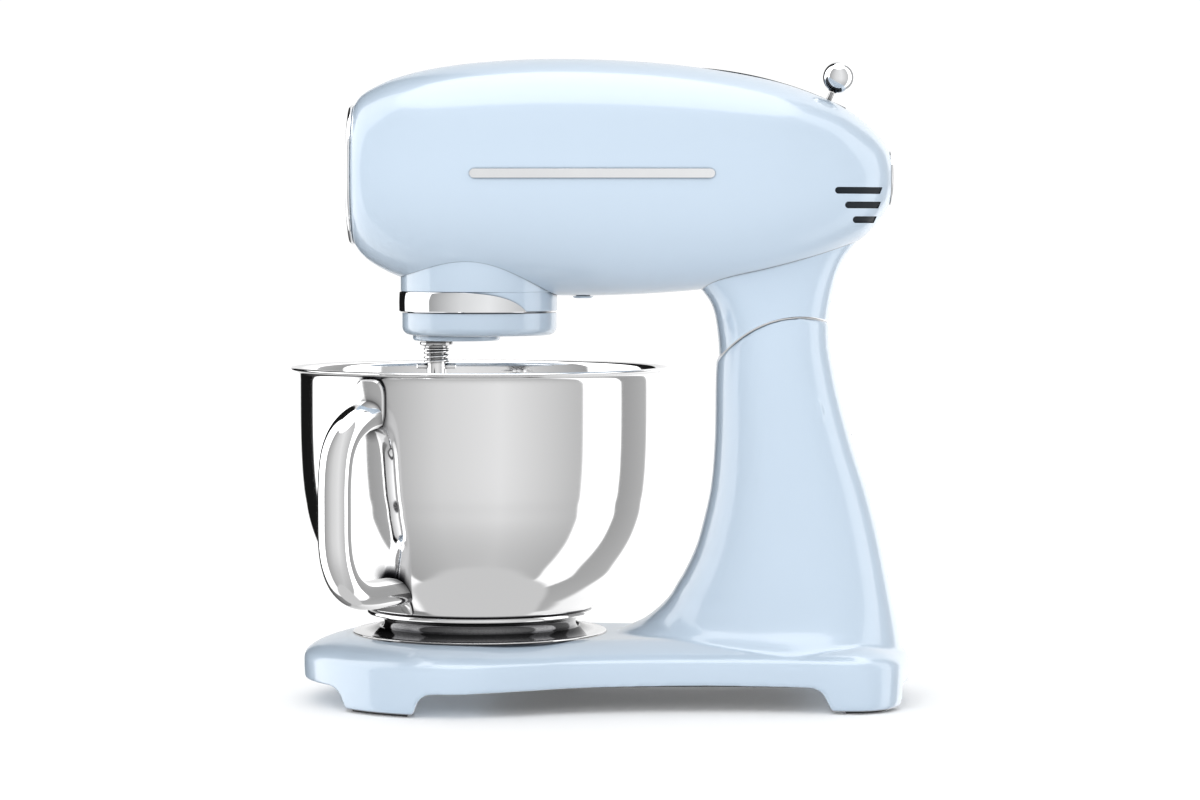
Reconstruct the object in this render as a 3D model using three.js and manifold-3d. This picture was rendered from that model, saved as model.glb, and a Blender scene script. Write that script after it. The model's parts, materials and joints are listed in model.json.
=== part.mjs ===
// Tilt-head stand mixer, in millimetres. +Z is up and the worktop is Z = 0. The nose points along -X and the
// bowl handle stands on the -Y side. Y = 0 is the mixer's centre plane until the last line moves the group.
import * as THREE from "three";
import { mergeVertices } from "three/addons/utils/BufferGeometryUtils.js";
import Module from "manifold-3d";

const wasm = await Module();
wasm.setup();

const GAP = 0.4; // clearance left between pieces that touch on the real mixer
const SEGMENTS = 12; // facets round a small turned piece
const FINE = 28; // facets round a large one
const SMOOTHING = 0.04; // the most a surface may move when flat facets are merged
const DEG = Math.PI / 180;

// Bowl and planetary axis
const AXIS_X = -71.3;
const OFFSET = 25.5; // beater axis to planetary axis
const BEATER_X = AXIS_X - OFFSET;

// Head
const WALL = 3;
const NOSE_X = -144.9;
const TAIL_X = 170.6;
const PTO_Z = 310;

// Tilt hinge
const HINGE_X = 116.8;
const HINGE_Z = 170;
const PARTING_R = 56.7;
const TONGUE_HALF = 11;

// Speed lever: it rides an arc on top of the head
const ARC_X = 41.6;
const ARC_Z = 142.4;
const ARC_R = 231;
const LEVER_ANGLE = 23.8;
const BALL_R = 9.3;

// Drive train
const GEAR_MODULE = 2;
const RING_MODULE = 1.5;
const LAY_X = AXIS_X + 50;
const MOTOR_X = 72;
const PULLEY_R = 35;
const MOTOR_PULLEY_R = 7;
const BELT_Z = 281;
const BEVEL_R = 14;

// Base
const BASE_TOP = 39.5;
const SKIRT_Z = 14;
const FOOT_Z = 1.6;

const group = new THREE.Group();

// ---- helpers --------------------------------------------------------------------------------------------

// A closed geometry as a solid; a surface that came out facing inwards is turned round.
function solid(geometry) {
  const plain = new THREE.BufferGeometry().setIndex(geometry.index);
  plain.setAttribute("position", geometry.getAttribute("position"));
  const merged = mergeVertices(plain, 1e-4);
  const triVerts = new Uint32Array(merged.index.array);
  const vertProperties = merged.attributes.position.array;
  const made = new wasm.Manifold(new wasm.Mesh({ numProp: 3, vertProperties, triVerts }));
  if (made.volume() > 0) {
    return made;
  }
  triVerts.reverse();
  return new wasm.Manifold(new wasm.Mesh({ numProp: 3, vertProperties, triVerts }));
}

function add(name, made, material) {
  const { vertProperties, triVerts } = made.simplify(SMOOTHING).getMesh();
  const geometry = new THREE.BufferGeometry();
  geometry.setAttribute("position", new THREE.BufferAttribute(vertProperties, 3));
  geometry.setIndex(new THREE.BufferAttribute(triVerts, 1));
  geometry.computeVertexNormals();
  const mesh = new THREE.Mesh(geometry, material());
  mesh.name = name;
  group.add(mesh);
}

const union = (...parts) => parts.reduce((a, b) => a.add(b));
const cut = (from, ...parts) => parts.reduce((a, b) => a.subtract(b), from);

// A round rod along an axis ("x", "y" or "z") from one coordinate to another.
function rod(axis, r, from, to, [u, v] = [0, 0], segments = SEGMENTS) {
  const g = new THREE.CylinderGeometry(r, r, to - from, segments);
  const mid = (from + to) / 2;
  if (axis === "x") {
    g.rotateZ(-Math.PI / 2).translate(mid, u, v);
  } else if (axis === "y") {
    g.translate(u, mid, v);
  } else {
    g.rotateX(Math.PI / 2).translate(u, v, mid);
  }
  return solid(g);
}

function block([x0, x1], [y0, y1], [z0, z1]) {
  const g = new THREE.BoxGeometry(x1 - x0, y1 - y0, z1 - z0);
  return solid(g.translate((x0 + x1) / 2, (y0 + y1) / 2, (z0 + z1) / 2));
}

// A closed [radius, height] profile turned about the vertical through (x, y).
function turned(profile, x = 0, y = 0, segments = SEGMENTS) {
  const points = [...profile, profile[0]].map(([r, z]) => new THREE.Vector2(r, z));
  return solid(new THREE.LatheGeometry(points, segments).rotateX(Math.PI / 2).translate(x, y, 0));
}

const shapeOf = (outline) => new THREE.Shape(outline.map(([u, v]) => new THREE.Vector2(u, v)));

// An outline in X and Z, drawn out along Y.
function prism(outline, [y0, y1]) {
  const g = new THREE.ExtrudeGeometry(shapeOf(outline), { depth: y1 - y0, bevelEnabled: false });
  return solid(g.rotateX(Math.PI / 2).translate(0, y1, 0));
}

// An outline in X and Y, drawn out along Z.
function plate(outline, [z0, z1]) {
  const g = new THREE.ExtrudeGeometry(shapeOf(outline), { depth: z1 - z0, bevelEnabled: false });
  return solid(g.translate(0, 0, z0));
}

// A skin over rings that hold the same number of points, closed by a flat face at each end.
function loft(rings) {
  const n = rings[0].length;
  const index = [];
  for (let i = 0; i + 1 < rings.length; i++) {
    for (let j = 0; j < n; j++) {
      const a = i * n + j;
      const b = i * n + ((j + 1) % n);
      index.push(a, b, b + n, a, b + n, a + n);
    }
  }
  const last = (rings.length - 1) * n;
  for (let j = 1; j + 1 < n; j++) {
    index.push(0, j + 1, j, last, last + j, last + j + 1);
  }
  const g = new THREE.BufferGeometry().setIndex(index);
  g.setAttribute("position", new THREE.Float32BufferAttribute(rings.flat(2), 3));
  return solid(g);
}

// A smooth function through [at, value] points.
function through(points) {
  const at = points.map(([a]) => a);
  const values = points.map(([, v]) => v);
  const curve = new THREE.CubicInterpolant(at, values, 1);
  return (a) => curve.evaluate(THREE.MathUtils.clamp(a, at[0], at.at(-1)))[0];
}

const range = (from, to, count) => Array.from({ length: count + 1 },
  (_, i) => from + ((to - from) * i) / count);

// A rounded loop with half sizes a and b; the power sets how square it is. The flare widens the loop
// towards +u.
function superellipse(count, a, b, power, flare = 0) {
  return range(0, 2 * Math.PI, count)
    .slice(1)
    .map((t) => {
      const c = Math.cos(t);
      const s = Math.sin(t);
      const u = Math.sign(c) * Math.abs(c) ** (2 / power);
      const v = Math.sign(s) * Math.abs(s) ** (2 / power);
      return [a * u, b * v * (1 + flare * u)];
    });
}

// Trapezoid teeth: half thickness at the pitch circle, with flanks that lean at 20 degrees.
function toothOutline(teeth, module, { up, down, half, phase = 0, at = [0, 0], scale = 1 }) {
  const pitch = (teeth * module) / 2;
  const lean = Math.tan(20 * DEG);
  const corners = [
    [-1, -down],
    [-1, up],
    [1, up],
    [1, -down],
  ];
  return range(0, teeth - 1, teeth - 1).flatMap((i) =>
    corners.map(([side, out]) => {
      const r = pitch + out * module;
      const angle = (i * 2 * Math.PI) / teeth + phase + (side * module * (half - out * lean)) / r;
      return [at[0] + scale * r * Math.cos(angle), at[1] + scale * r * Math.sin(angle)];
    }),
  );
}

const TOOTH = { up: 0.8, down: 1.15, half: 0.66 };

function spur(teeth, module, x, phase, z) {
  return plate(toothOutline(teeth, module, { ...TOOTH, phase, at: [x, 0] }), z);
}

// A mitre bevel gear whose cone ends at the apex; it is made standing under the apex at the origin.
function bevel(teeth, phase) {
  const module = (2 * BEVEL_R) / teeth;
  const ring = (scale) =>
    toothOutline(teeth, module, { up: 0.45, down: 1.2, half: 0.58, phase, scale }).map(([x, y]) => [
      x,
      y,
      -BEVEL_R * scale,
    ]);
  return loft([ring(1), ring(0.66)]);
}

// A band of the arc the speed lever follows; angles are degrees back from the top.
function arcBand([r0, r1], [a0, a1], halfWidth, steps = 12) {
  const at = (r, a) => [ARC_X + r * Math.sin(a * DEG), ARC_Z + r * Math.cos(a * DEG)];
  const out = range(a0, a1, steps).map((a) => at(r1, a));
  const back = range(a1, a0, steps).map((a) => at(r0, a));
  return prism([...out, ...back], [-halfWidth, halfWidth]);
}

// A flat bar with half-round ends, in the X and Z plane.
function pill([x0, x1], z, half) {
  const end = (x, from) =>
    range(from, from + 180, 6).map((a) => [x + half * Math.cos(a * DEG), z + half * Math.sin(a * DEG)]);
  return [...end(x0 + half, 90), ...end(x1 - half, 270)];
}

const material = (color, roughness, metalness) => () => new THREE.MeshStandardMaterial({ color, roughness,
  metalness });

const PAINT = material(0xcfe1f0, 0.25, 0.1);
const CHROME = material(0xe4e6e8, 0.08, 1);
const STEEL = material(0xc4c7ca, 0.2, 1);
const DARK_PLASTIC = material(0x1b2633, 0.55, 0);
const RUBBER = material(0x1c1c1e, 0.85, 0);
const ALUMINIUM = material(0xb3b6ba, 0.45, 0.9);
const GEAR_STEEL = material(0x8f9296, 0.35, 1);
const NYLON = material(0xe8e4d6, 0.6, 0);
const COPPER = material(0xb5713c, 0.35, 1);
const GREEN_BOARD = material(0x1f6b3f, 0.6, 0);

// ---- head -----------------------------------------------------------------------------------------------

const headTop = through([
  [-144.9, 350.8], [-141, 356.2], [-134.1, 360.6], [-120.3, 367], [-98.6, 372.6], [-71, 376.2],
  [-29.6, 378.2],
  [19.7, 376.8], [62.1, 372.6], [103.5, 364.9], [132.1, 355.2], [145.9, 348.2], [159.7, 337.2],
  [166.6, 329.6],
    [170.6, 323.5],
]);
const headBottom = through([
  [-144.9, 269.4], [-141, 263.8], [-134.1, 258], [-120.3, 250.8], [-98.6, 244.4], [-71, 241],
  [-21.7, 238.9],
  [12.8, 239.5], [54.2, 241.8], [78.9, 245.2], [103.5, 250.5], [128.2, 258.8], [152.8, 272],
  [159.7, 278.5], [166.6, 286.2],
  [170.6, 292.5],
]);
const headHalf = through([
  [-144.9, 40.6], [-141, 46], [-134.1, 50.5], [-120.3, 55.5], [-98.6, 60], [-71, 62.8], [-29.6, 64.5],
  [19.7, 64.5],
  [62.1, 62.6], [103.5, 58], [132.1, 50.5], [145.9, 45], [159.7, 36], [166.6, 27.5], [170.6, 19],
]);
const headPower = through([[-144.9, 2], [-134.1, 2.1], [-98.6, 2.25], [19.7, 2.35], [118.3, 2.3],
  [170.6, 2.1]]);

// The head's outer surface moved in by some distance, as a solid between two X stations.
function headBody(inset, stations, count) {
  const rings = stations.map((x) => {
    const top = headTop(x) - inset;
    const bottom = headBottom(x) + inset;
    const loop = superellipse(count, headHalf(x) - inset, (top - bottom) / 2, headPower(x));
    return loop.map(([y, z]) => [x, y, z + (top + bottom) / 2]);
  });
  return loft(rings);
}

const FULL_STATIONS = [-144.9, -141, -134.1, -122.3, -100.6, -64.1, -14.8, 34.5, 78.9, 110.4, 134.1,
  149.9, 160.7, 166.6, 170.6];
const INNER_STATIONS = [-141.5, -134.1, -116.3, -78.9, -14.8, 54.2, 103.5, 133.1, 150.9, 160.7, 165.6];
const TRIM_STATIONS = [-100.6, -64.1, -14.8, 34.5, 78.9];
const VENT_STATIONS = [110.4, 134.1, 149.9, 160.7, 166.6, 170.6];
const HEAD_POINTS = 24;
const headSolid = headBody(0, FULL_STATIONS, HEAD_POINTS);
const headClear = headBody(-GAP, FULL_STATIONS, HEAD_POINTS);
const INNER_POINTS = 14;
const headCavity = headBody(WALL, INNER_STATIONS, INNER_POINTS);

const slotCut = arcBand([ARC_R - 7, ARC_R + 9], [2.6, 25.6], 2.3);
const VENT_SLOTS = [
  [135.7, 164.6, 300.4],
  [141.8, 164, 292],
  [146.8, 162, 283.5],
];
const VENT_HALF = 1.95;

// Slots cut through one side wall; side is +1 or -1 along Y. A positive grow widens them.
function ventSlots(side, grow) {
  const y = side > 0 ? [12, 70] : [-70, -12];
  return union(...VENT_SLOTS.map(([x0, x1, z]) => prism(pill([x0 - grow, x1 + grow], z, VENT_HALF + grow),
    y)));
}

function headShell() {
  return cut(
    headSolid,
    headCavity,
    rod("z", 47, 200, 262, [AXIS_X, 0], FINE),
    rod("x", 24, -150, -140, [0, PTO_Z]),
    arcBand([ARC_R - 1.4, ARC_R + 9], [1.4, 26.8], 7.3),
    slotCut,
    ventSlots(1, 0),
    ventSlots(-1, 0),
    rod("z", 4.4, 230, 250, [-10, 0], 24),
    block([82, 122], [-18, 18], [230, 262]),
  );
}

// The grille behind the slots, with three bars that fill them to just under the paint.
function ventGrille(side) {
  const half = side > 0 ? block([133, 167], [10, 70], [278, 306]) : block([133, 167], [-70, -10],
    [278, 306]);
  const bars = headBody(0.9, VENT_STATIONS, HEAD_POINTS).intersect(ventSlots(side, -0.3));
  const backing = headBody(WALL + GAP, INNER_STATIONS, INNER_POINTS);
  const hollow = headBody(WALL + 2.4, INNER_STATIONS, INNER_POINTS);
  return cut(union(backing.intersect(half), bars.intersect(half)), hollow);
}

function sideTrim(side) {
  const y = side > 0 ? [40, 70] : [-70, -40];
  const band = headBody(-1.5, TRIM_STATIONS, HEAD_POINTS).intersect(prism(pill([-75, 66], PTO_Z, 2.6), y));
  return band.subtract(headClear);
}

add("head_shell", headShell(), PAINT);
add("vent_grille_left", ventGrille(-1), DARK_PLASTIC);
add("vent_grille_right", ventGrille(1), DARK_PLASTIC);
add("side_trim_left", sideTrim(-1), CHROME);
add("side_trim_right", sideTrim(1), CHROME);
add("speed_strip", arcBand([ARC_R - 1, ARC_R + 0.6], [1.7, 26.5], 6.9).subtract(slotCut), DARK_PLASTIC);
add("belly_plug", turned([[0, 237.4], [5.4, 237.4], [6.2, 238.4], [4, 238.4], [4, 244], [0, 244]], -10, 0,
  24), PAINT);

// Everything at the nose and tail is turned about the horizontal through PTO_Z.
function turnedX(profile, segments = FINE) {
  const points = [...profile, profile[0]].map(([r, x]) => new THREE.Vector2(r, x));
  return solid(new THREE.LatheGeometry(points, segments).rotateZ(-Math.PI / 2).translate(0, 0, PTO_Z));
}

add(
  "nose_ring",
  turnedX([[38.4, NOSE_X - GAP], [40.9, NOSE_X - GAP], [41, NOSE_X - 1.6], [40.2, NOSE_X - 2.6],
    [38.4, NOSE_X - 2.2]]),
  CHROME,
);
const TAIL_Z = 308;
const capLoop = (grow) => superellipse(24, 17.5 + grow, 15.6 + grow, 2.1);
add(
  "rear_cap",
  loft([
    capLoop(0).map(([y, z]) => [TAIL_X + GAP, y, z + TAIL_Z]),
    capLoop(0).map(([y, z]) => [TAIL_X + 1.1, y, z + TAIL_Z]),
    capLoop(-2.5).map(([y, z]) => [TAIL_X + 1.6, y, z + TAIL_Z]),
  ]),
  CHROME,
);

// ---- nose cap and power take-off ------------------------------------------------------------------------

add(
  "nose_cap",
  turnedX([
    [0, -128.5], [8, -128.5], [8, NOSE_X - GAP], [38, NOSE_X - GAP], [37.6, NOSE_X - 1.4],
    [30, NOSE_X - 2.8],
    [18, NOSE_X - 4], [0, NOSE_X - 4.5],
  ]),
  CHROME,
);
const PTO_TEETH = 16;
const ptoBevel = bevel(PTO_TEETH, Math.PI / PTO_TEETH);
add(
  "pto_shaft",
  union(
    ptoBevel.rotate([0, 90, 0]).translate([AXIS_X, 0, PTO_Z]),
    rod("x", 5, -122, AXIS_X - BEVEL_R + 0.5, [0, PTO_Z], 24),
  ),
  GEAR_STEEL,
);
add("pto_bearing", turnedX([[5.4, -112], [11, -112], [11, -103], [5.4, -103]], SEGMENTS), GEAR_STEEL);
add(
  "pto_socket",
  turnedX([[5.6, -123], [13, -123], [13, -139.5], [8.6, -139.5], [8.6, -127.5], [0, -127.5], [0, -122.6],
    [5.6, -122.6]], 32),
  GEAR_STEEL,
);

// ---- planetary housing and drive ------------------------------------------------------------------------

const HOUSING_R = 46.5;
add(
  "planetary_housing",
  turned(
    [
      [HOUSING_R - 3, 230], [HOUSING_R - 0.6, 230], [HOUSING_R - 0.6, 241], [HOUSING_R, 242],
        [HOUSING_R, 259.6],
      [12.4, 259.6], [12.4, 256.6], [HOUSING_R - 3, 256.6],
    ],
    AXIS_X, 0, FINE,
  ),
  PAINT,
);

// A chrome band that wraps the nose half of the housing and tapers to a point on each side.
function chromeBand() {
  const ring = turned(
    [[HOUSING_R - 0.2, 229.6], [HOUSING_R + 0.9, 229.6], [HOUSING_R + 1.1, 235], [HOUSING_R + 0.4, 241.2],
      [HOUSING_R - 0.2, 241.2]],
    AXIS_X, 0, FINE,
  );
  const side = [[-125, 229], [-42, 229], [-46, 232.5], [-56, 237], [-68, 239.6], [-84, 241], [-125, 241.4]];
  return ring.intersect(prism(side, [-60, 60]));
}
add("chrome_band", chromeBand(), CHROME);

const RING_TEETH = 48;
const PLANET_TEETH = 14;
const CARRIER_TEETH = 40;
const PINION_TEETH = 10;
const SPACE = { up: 1.15, down: 0.8, half: 0.9 };
add(
  "ring_gear",
  rod("z", 42.6, 244, 253, [AXIS_X, 0], FINE).subtract(
    plate(toothOutline(RING_TEETH, RING_MODULE, { ...SPACE, at: [AXIS_X, 0] }), [240, 257]),
  ),
  GEAR_STEEL,
);
add("spindle_bearing", turned([[6.4, 254.8], [12, 254.8], [12, 261.6], [6.4, 261.6]], AXIS_X, 0, SEGMENTS),
  GEAR_STEEL);

const CARRIER_R = 45.6;
function carrier() {
  const body = turned(
    [
      [0, 216], [40, 216], [44, 217.4], [CARRIER_R, 220.5], [CARRIER_R, 228.8], [42.6, 228.8],
      [42.6, 238], [20, 238], [0, 238],
    ],
    AXIS_X, 0, FINE,
  );
  const boss = turned([[0, 212.4], [24.6, 212.4], [25.8, 213.6], [25.8, 222], [0, 222]], AXIS_X - 13.6, 0,
    24);
  return cut(
    union(body, boss),
    rod("z", 6.6, 200, 242, [BEATER_X, 0], SEGMENTS),
    rod("z", 6.4, 226, 242, [AXIS_X, 0], SEGMENTS),
  );
}
add("planet_carrier", carrier(), PAINT);
add(
  "centre_shaft",
  turned([[0, 226.6], [6, 226.6], [6, 290], [4.6, 290], [4.6, 301.4], [0, 301.4]], AXIS_X, 0, SEGMENTS),
  GEAR_STEEL,
);
const bored = (made, r) => made.subtract(rod("z", r, 200, 330, [AXIS_X, 0], SEGMENTS));
add("carrier_gear", bored(spur(CARRIER_TEETH, GEAR_MODULE, AXIS_X, 0, [263, 271]), 6.4), NYLON);
add("pto_drive_bevel", bored(bevel(PTO_TEETH, 0).translate([AXIS_X, 0, PTO_Z]), 5), GEAR_STEEL);

// ---- beater shaft ---------------------------------------------------------------------------------------

function beaterShaft() {
  return union(
    turned(
      [
        [0, 192], [4.8, 192], [5.7, 193], [5.7, 208.6], [6.9, 208.6], [6.9, 209.2], [9.7, 209.8],
          [9.7, 211.6],
        [6.2, 211.6], [6.2, 253.6], [0, 253.6],
      ],
      BEATER_X, 0, 16,
    ),
    rod("x", 1.6, BEATER_X + 2, BEATER_X + 11.5, [0, 197], 12),
    rod("x", 1.6, BEATER_X - 11.5, BEATER_X - 2, [0, 197], 12),
  );
}
add("beater_shaft", beaterShaft(), STEEL);
const planet = spur(PLANET_TEETH, RING_MODULE, BEATER_X, 0, [244.6, 252.4]);
add("planet_pinion", planet.subtract(rod("z", 6.6, 240, 256, [BEATER_X, 0], SEGMENTS)), GEAR_STEEL);

class Helix extends THREE.Curve {
  constructor(r, z0, z1, turns, x, y = 0) {
    super();
    Object.assign(this, { r, z0, z1, turns, x, y });
  }
  getPoint(t, target = new THREE.Vector3()) {
    const a = 2 * Math.PI * this.turns * t;
    const z = this.z0 + (this.z1 - this.z0) * t;
    return target.set(this.x + this.r * Math.cos(a), this.y + this.r * Math.sin(a), z);
  }
}

function spring(wire, path, stepsPerTurn = 8) {
  const round = new THREE.Shape().absarc(0, 0, wire, 0, 2 * Math.PI);
  const steps = Math.round(path.turns * stepsPerTurn);
  return solid(new THREE.ExtrudeGeometry(round, { extrudePath: path, steps, curveSegments: 2,
    bevelEnabled: false }));
}
add("beater_spring", spring(0.6, new Helix(6.9, 199.8, 207.2, 3, BEATER_X)), STEEL);

// ---- layshaft, belt and motor ---------------------------------------------------------------------------

add(
  "layshaft",
  union(spur(PINION_TEETH, GEAR_MODULE, LAY_X, Math.PI / PINION_TEETH, [262.6, 271.4]),
    rod("z", 5, 260.4, 300, [LAY_X, 0])),
  GEAR_STEEL,
);
add(
  "layshaft_pulley",
  turned(
    [[5.4, 275.6], [PULLEY_R + 1.6, 275.6], [PULLEY_R + 1.6, 276.6], [PULLEY_R, 276.6], [PULLEY_R, 285.4],
     [PULLEY_R + 1.6, 285.4], [PULLEY_R + 1.6, 286.4], [5.4, 286.4]],
    LAY_X, 0, FINE,
  ),
  ALUMINIUM,
);
add("layshaft_bearing", turned([[5.4, 292.4], [11, 292.4], [11, 299.4], [5.4, 299.4]], LAY_X, 0, SEGMENTS),
  GEAR_STEEL);
add(
  "motor_pulley",
  turned([[3.4, 275.6], [MOTOR_PULLEY_R + 1.4, 275.6], [MOTOR_PULLEY_R + 1.4, 276.4],
  [MOTOR_PULLEY_R, 276.4],
          [MOTOR_PULLEY_R, 285.6], [MOTOR_PULLEY_R + 1.4, 285.6], [MOTOR_PULLEY_R + 1.4, 286.4],
            [3.4, 286.4]],
    MOTOR_X, 0, SEGMENTS),
  GEAR_STEEL,
);

// The loop a belt makes round both pulleys, some distance off their faces.
function beltLoop(off) {
  const reach = MOTOR_X - LAY_X;
  const lean = Math.acos((PULLEY_R - MOTOR_PULLEY_R) / reach);
  const around = (x, r, a0, a1, steps) =>
    range(a0, a1, steps).map((a) => [x + (r + off) * Math.cos(a), (r + off) * Math.sin(a)]);
  return [
    ...around(LAY_X, PULLEY_R, lean, 2 * Math.PI - lean, 22),
    ...around(MOTOR_X, MOTOR_PULLEY_R, -lean, lean, 8),
  ];
}
const beltHeight = [BELT_Z - 4, BELT_Z + 4];
add("drive_belt", plate(beltLoop(2.4), beltHeight).subtract(plate(beltLoop(GAP), [BELT_Z - 9, BELT_Z + 9])),
  RUBBER);

const FRAME_Z = [288.4, 291.8];
function gearboxFrame() {
  const outline = superellipse(20, 104, 47, 4).map(([x, y]) => [x + 8, y]);
  return cut(
    union(plate(outline, FRAME_Z), rod("z", 14, 290, 300, [LAY_X, 0], 32)),
    rod("z", 18, 280, 310, [AXIS_X, 0], 32),
    rod("z", 11.4, 280, 310, [LAY_X, 0], SEGMENTS),
    rod("z", 4.4, 280, 310, [MOTOR_X, 0], 24),
  );
}
add("gearbox_frame", gearboxFrame(), ALUMINIUM);

// Field: a steel yoke with two pole pieces, each wrapped by a winding pad.
function stator() {
  const yoke = turned([[29, 304], [34, 304], [34, 332], [29, 332]], MOTOR_X, 0, 32);
  const poles = block([MOTOR_X - 12, MOTOR_X + 12], [-30.5, 30.5], [304, 332]);
  return yoke.add(poles).subtract(rod("z", 20.5, 300, 340, [MOTOR_X, 0], 32));
}
add("motor_stator", stator(), GEAR_STEEL);
for (const [name, side] of [["field_coil_left", -1], ["field_coil_right", 1]]) {
  const pad = block([MOTOR_X - 15.6, MOTOR_X + 15.6], side > 0 ? [21.5, 24] : [-24, -21.5], [301.5, 334.5]);
  const pole = block([MOTOR_X - 12.4, MOTOR_X + 12.4], [-40, 40], [303.6, 332.4]);
  add(name, pad.subtract(pole).subtract(rod("z", 21, 290, 345, [MOTOR_X, 0])), COPPER);
}
const ARMATURE_SLOTS = 12;
function armature() {
  const slots = range(0, ARMATURE_SLOTS - 1, ARMATURE_SLOTS - 1).map((i) =>
    block([16, 22], [-1.2, 1.2], [300, 336])
      .rotate([0, 0, (360 * i) / ARMATURE_SLOTS])
      .translate([MOTOR_X, 0, 0]),
  );
  const core = turned([[3.4, 303], [19.6, 303], [19.6, 333], [3.4, 333]], MOTOR_X, 0, 24);
  return cut(core, ...slots);
}
add("armature", armature(), GEAR_STEEL);
add("motor_shaft", rod("z", 3, 273.6, 351, [MOTOR_X, 0], 20), GEAR_STEEL);
add("commutator", turned([[3.4, 336.4], [9.5, 336.4], [9.5, 346], [3.4, 346]], MOTOR_X, 0, 24), COPPER);

function coolingFan() {
  const blades = range(0, 6, 6).map((i) =>
    block([9, 27], [-0.7, 0.7], [294.4, 299.4])
      .rotate([0, 0, (360 * i) / 7])
      .translate([MOTOR_X, 0, 0]),
  );
  return union(turned([[3.4, 293.2], [27, 293.2], [27, 294.6], [10, 294.6], [10, 300], [3.4, 300]], MOTOR_X,
    0, 27), ...blades);
}
add("cooling_fan", coolingFan(), DARK_PLASTIC);

// ---- speed lever ----------------------------------------------------------------------------------------

const lever = (made) => made.rotate([0, LEVER_ANGLE, 0]).translate([ARC_X, 0, ARC_Z]);
add("lever_stem", lever(rod("z", 1.6, ARC_R - 5.6, ARC_R + 5.2, [0, 0], 20)), STEEL);
add("lever_ball", lever(solid(new THREE.SphereGeometry(BALL_R, 20, 10).translate(0, 0, ARC_R + 14.9))),
  CHROME);
add("lever_carriage", arcBand([ARC_R - 12.2, ARC_R - 6], [LEVER_ANGLE - 1.8, LEVER_ANGLE + 1.8], 8, 4),
  DARK_PLASTIC);

// ---- neck -----------------------------------------------------------------------------------------------

const neckFront = through([[186, 70.9], [200, 70.8], [216, 69.8], [232, 66.7], [242, 60.3], [252, 50],
  [266, 36]]);
const neckRear = through([[186, 133.5], [212, 133.8], [224, 134.7], [244, 137.8], [258, 142.4],
  [268, 149.2], [276, 157]]);
const neckHalf = through([[186, 41.6], [215, 40.4], [232, 37], [244, 33.6], [258, 30.6], [276, 28]]);

// Loops stacked up Z; the functions give where each starts and ends in X and how wide it is.
function stack(heights, front, rear, half, power, count, flare = () => 0) {
  const rings = heights.map((z) => {
    const mid = (front(z) + rear(z)) / 2;
    const loop = superellipse(count, rear(z) - mid, half(z), power, flare(z));
    return loop.map(([x, y]) => [x + mid, y, z]);
  });
  return loft(rings);
}

const TONGUE_R = 15;
const hingeRod = (r, halfLength, segments = 48) => rod("y", r, -halfLength, halfLength, [HINGE_X, HINGE_Z],
  segments);
const polar = (r, degrees) => [HINGE_X + r * Math.cos(degrees * DEG),
  HINGE_Z + r * Math.sin(degrees * DEG)];

function neck() {
  const body = stack([188, 206, 222, 236, 248, 262, 276], neckFront, neckRear, neckHalf, 2.7, 24);
  const saddle = cut(body, hingeRod(PARTING_R + GAP, 80, 48));
  const tongue = prism([polar(12, 140), polar(62, 124), polar(62, 94), polar(14, 60)],
    [-TONGUE_HALF, TONGUE_HALF]);
  return cut(union(saddle, tongue, hingeRod(TONGUE_R, TONGUE_HALF, SEGMENTS)), headClear,
    hingeRod(5.4, 40, 24));
}
add("neck_casting", neck(), PAINT);

// ---- stand: column and base -----------------------------------------------------------------------------

const columnFront = through([
  [30, 0], [38, 8], [42, 16], [46.6, 26], [54, 35.5], [61, 42], [68, 46.1], [75, 50.3], [89, 56.8],
    [103, 60.9],
  [125, 65.7], [153, 68], [190, 68.6], [203, 69.2], [230, 70.6],
]);
const columnRear = through([
  [30, 178.6], [39.5, 177.5], [68, 171.6], [96, 165.6], [125, 158], [153, 149], [181.5, 141.4],
  [196, 138.4],
  [210, 136], [230, 135.3],
]);
const columnHalf = through([
  [30, 66], [40, 61], [46.6, 57.5], [54, 54.5], [61, 52.5], [75, 49.8], [96, 46.6], [120, 44.4],
  [150, 42.8],
  [190, 41.6], [215, 40.4], [230, 37.4],
]);
const columnFlare = through([[30, 0.36], [42, 0.27], [60, 0.16], [90, 0.05], [120, 0], [230, 0]]);
const COLUMN_HEIGHTS = [32, 38, 43, 49, 60, 80, 115, 160, 229];

// Half of the base seen from above, from the front centre to the rear centre.
const BASE_EDGE = [
  [-175.3, 0], [-171, 30], [-157, 57], [-132, 83], [-100, 98.5], [-72, 100], [-44, 91], [-14, 79],
  [25, 72.5],
  [65, 71], [105, 74], [135, 80.5], [154, 80], [169, 69], [178, 44], [181.4, 20],
];

function baseCurve() {
  const near = BASE_EDGE.map(([x, y]) => new THREE.Vector3(x, -y, 0));
  const far = BASE_EDGE.slice(1).reverse().map(([x, y]) => new THREE.Vector3(x, y, 0));
  return new THREE.CatmullRomCurve3([...near, ...far], true, "centripetal");
}
const BASE_POINTS = 36;
const basePath = baseCurve();
const baseSamples = range(0, 1, BASE_POINTS).slice(1).map((t) => [basePath.getPointAt(t),
  basePath.getTangentAt(t)]);

// The base outline moved in by a distance, at one height.
function baseRing(inset, z) {
  return baseSamples.map(([p, t]) => [p.x - inset * t.y, p.y + inset * t.x, z]);
}
const baseLayer = (rows) => loft(rows.map(([inset, z]) => baseRing(inset, z)));

const FEET = [
  ["front_left", [-147, -106], -1],
  ["front_right", [-147, -106], 1],
  ["rear_left", [137, 190], -1],
  ["rear_right", [137, 190], 1],
];
const FOOT_Y = 50;

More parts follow.
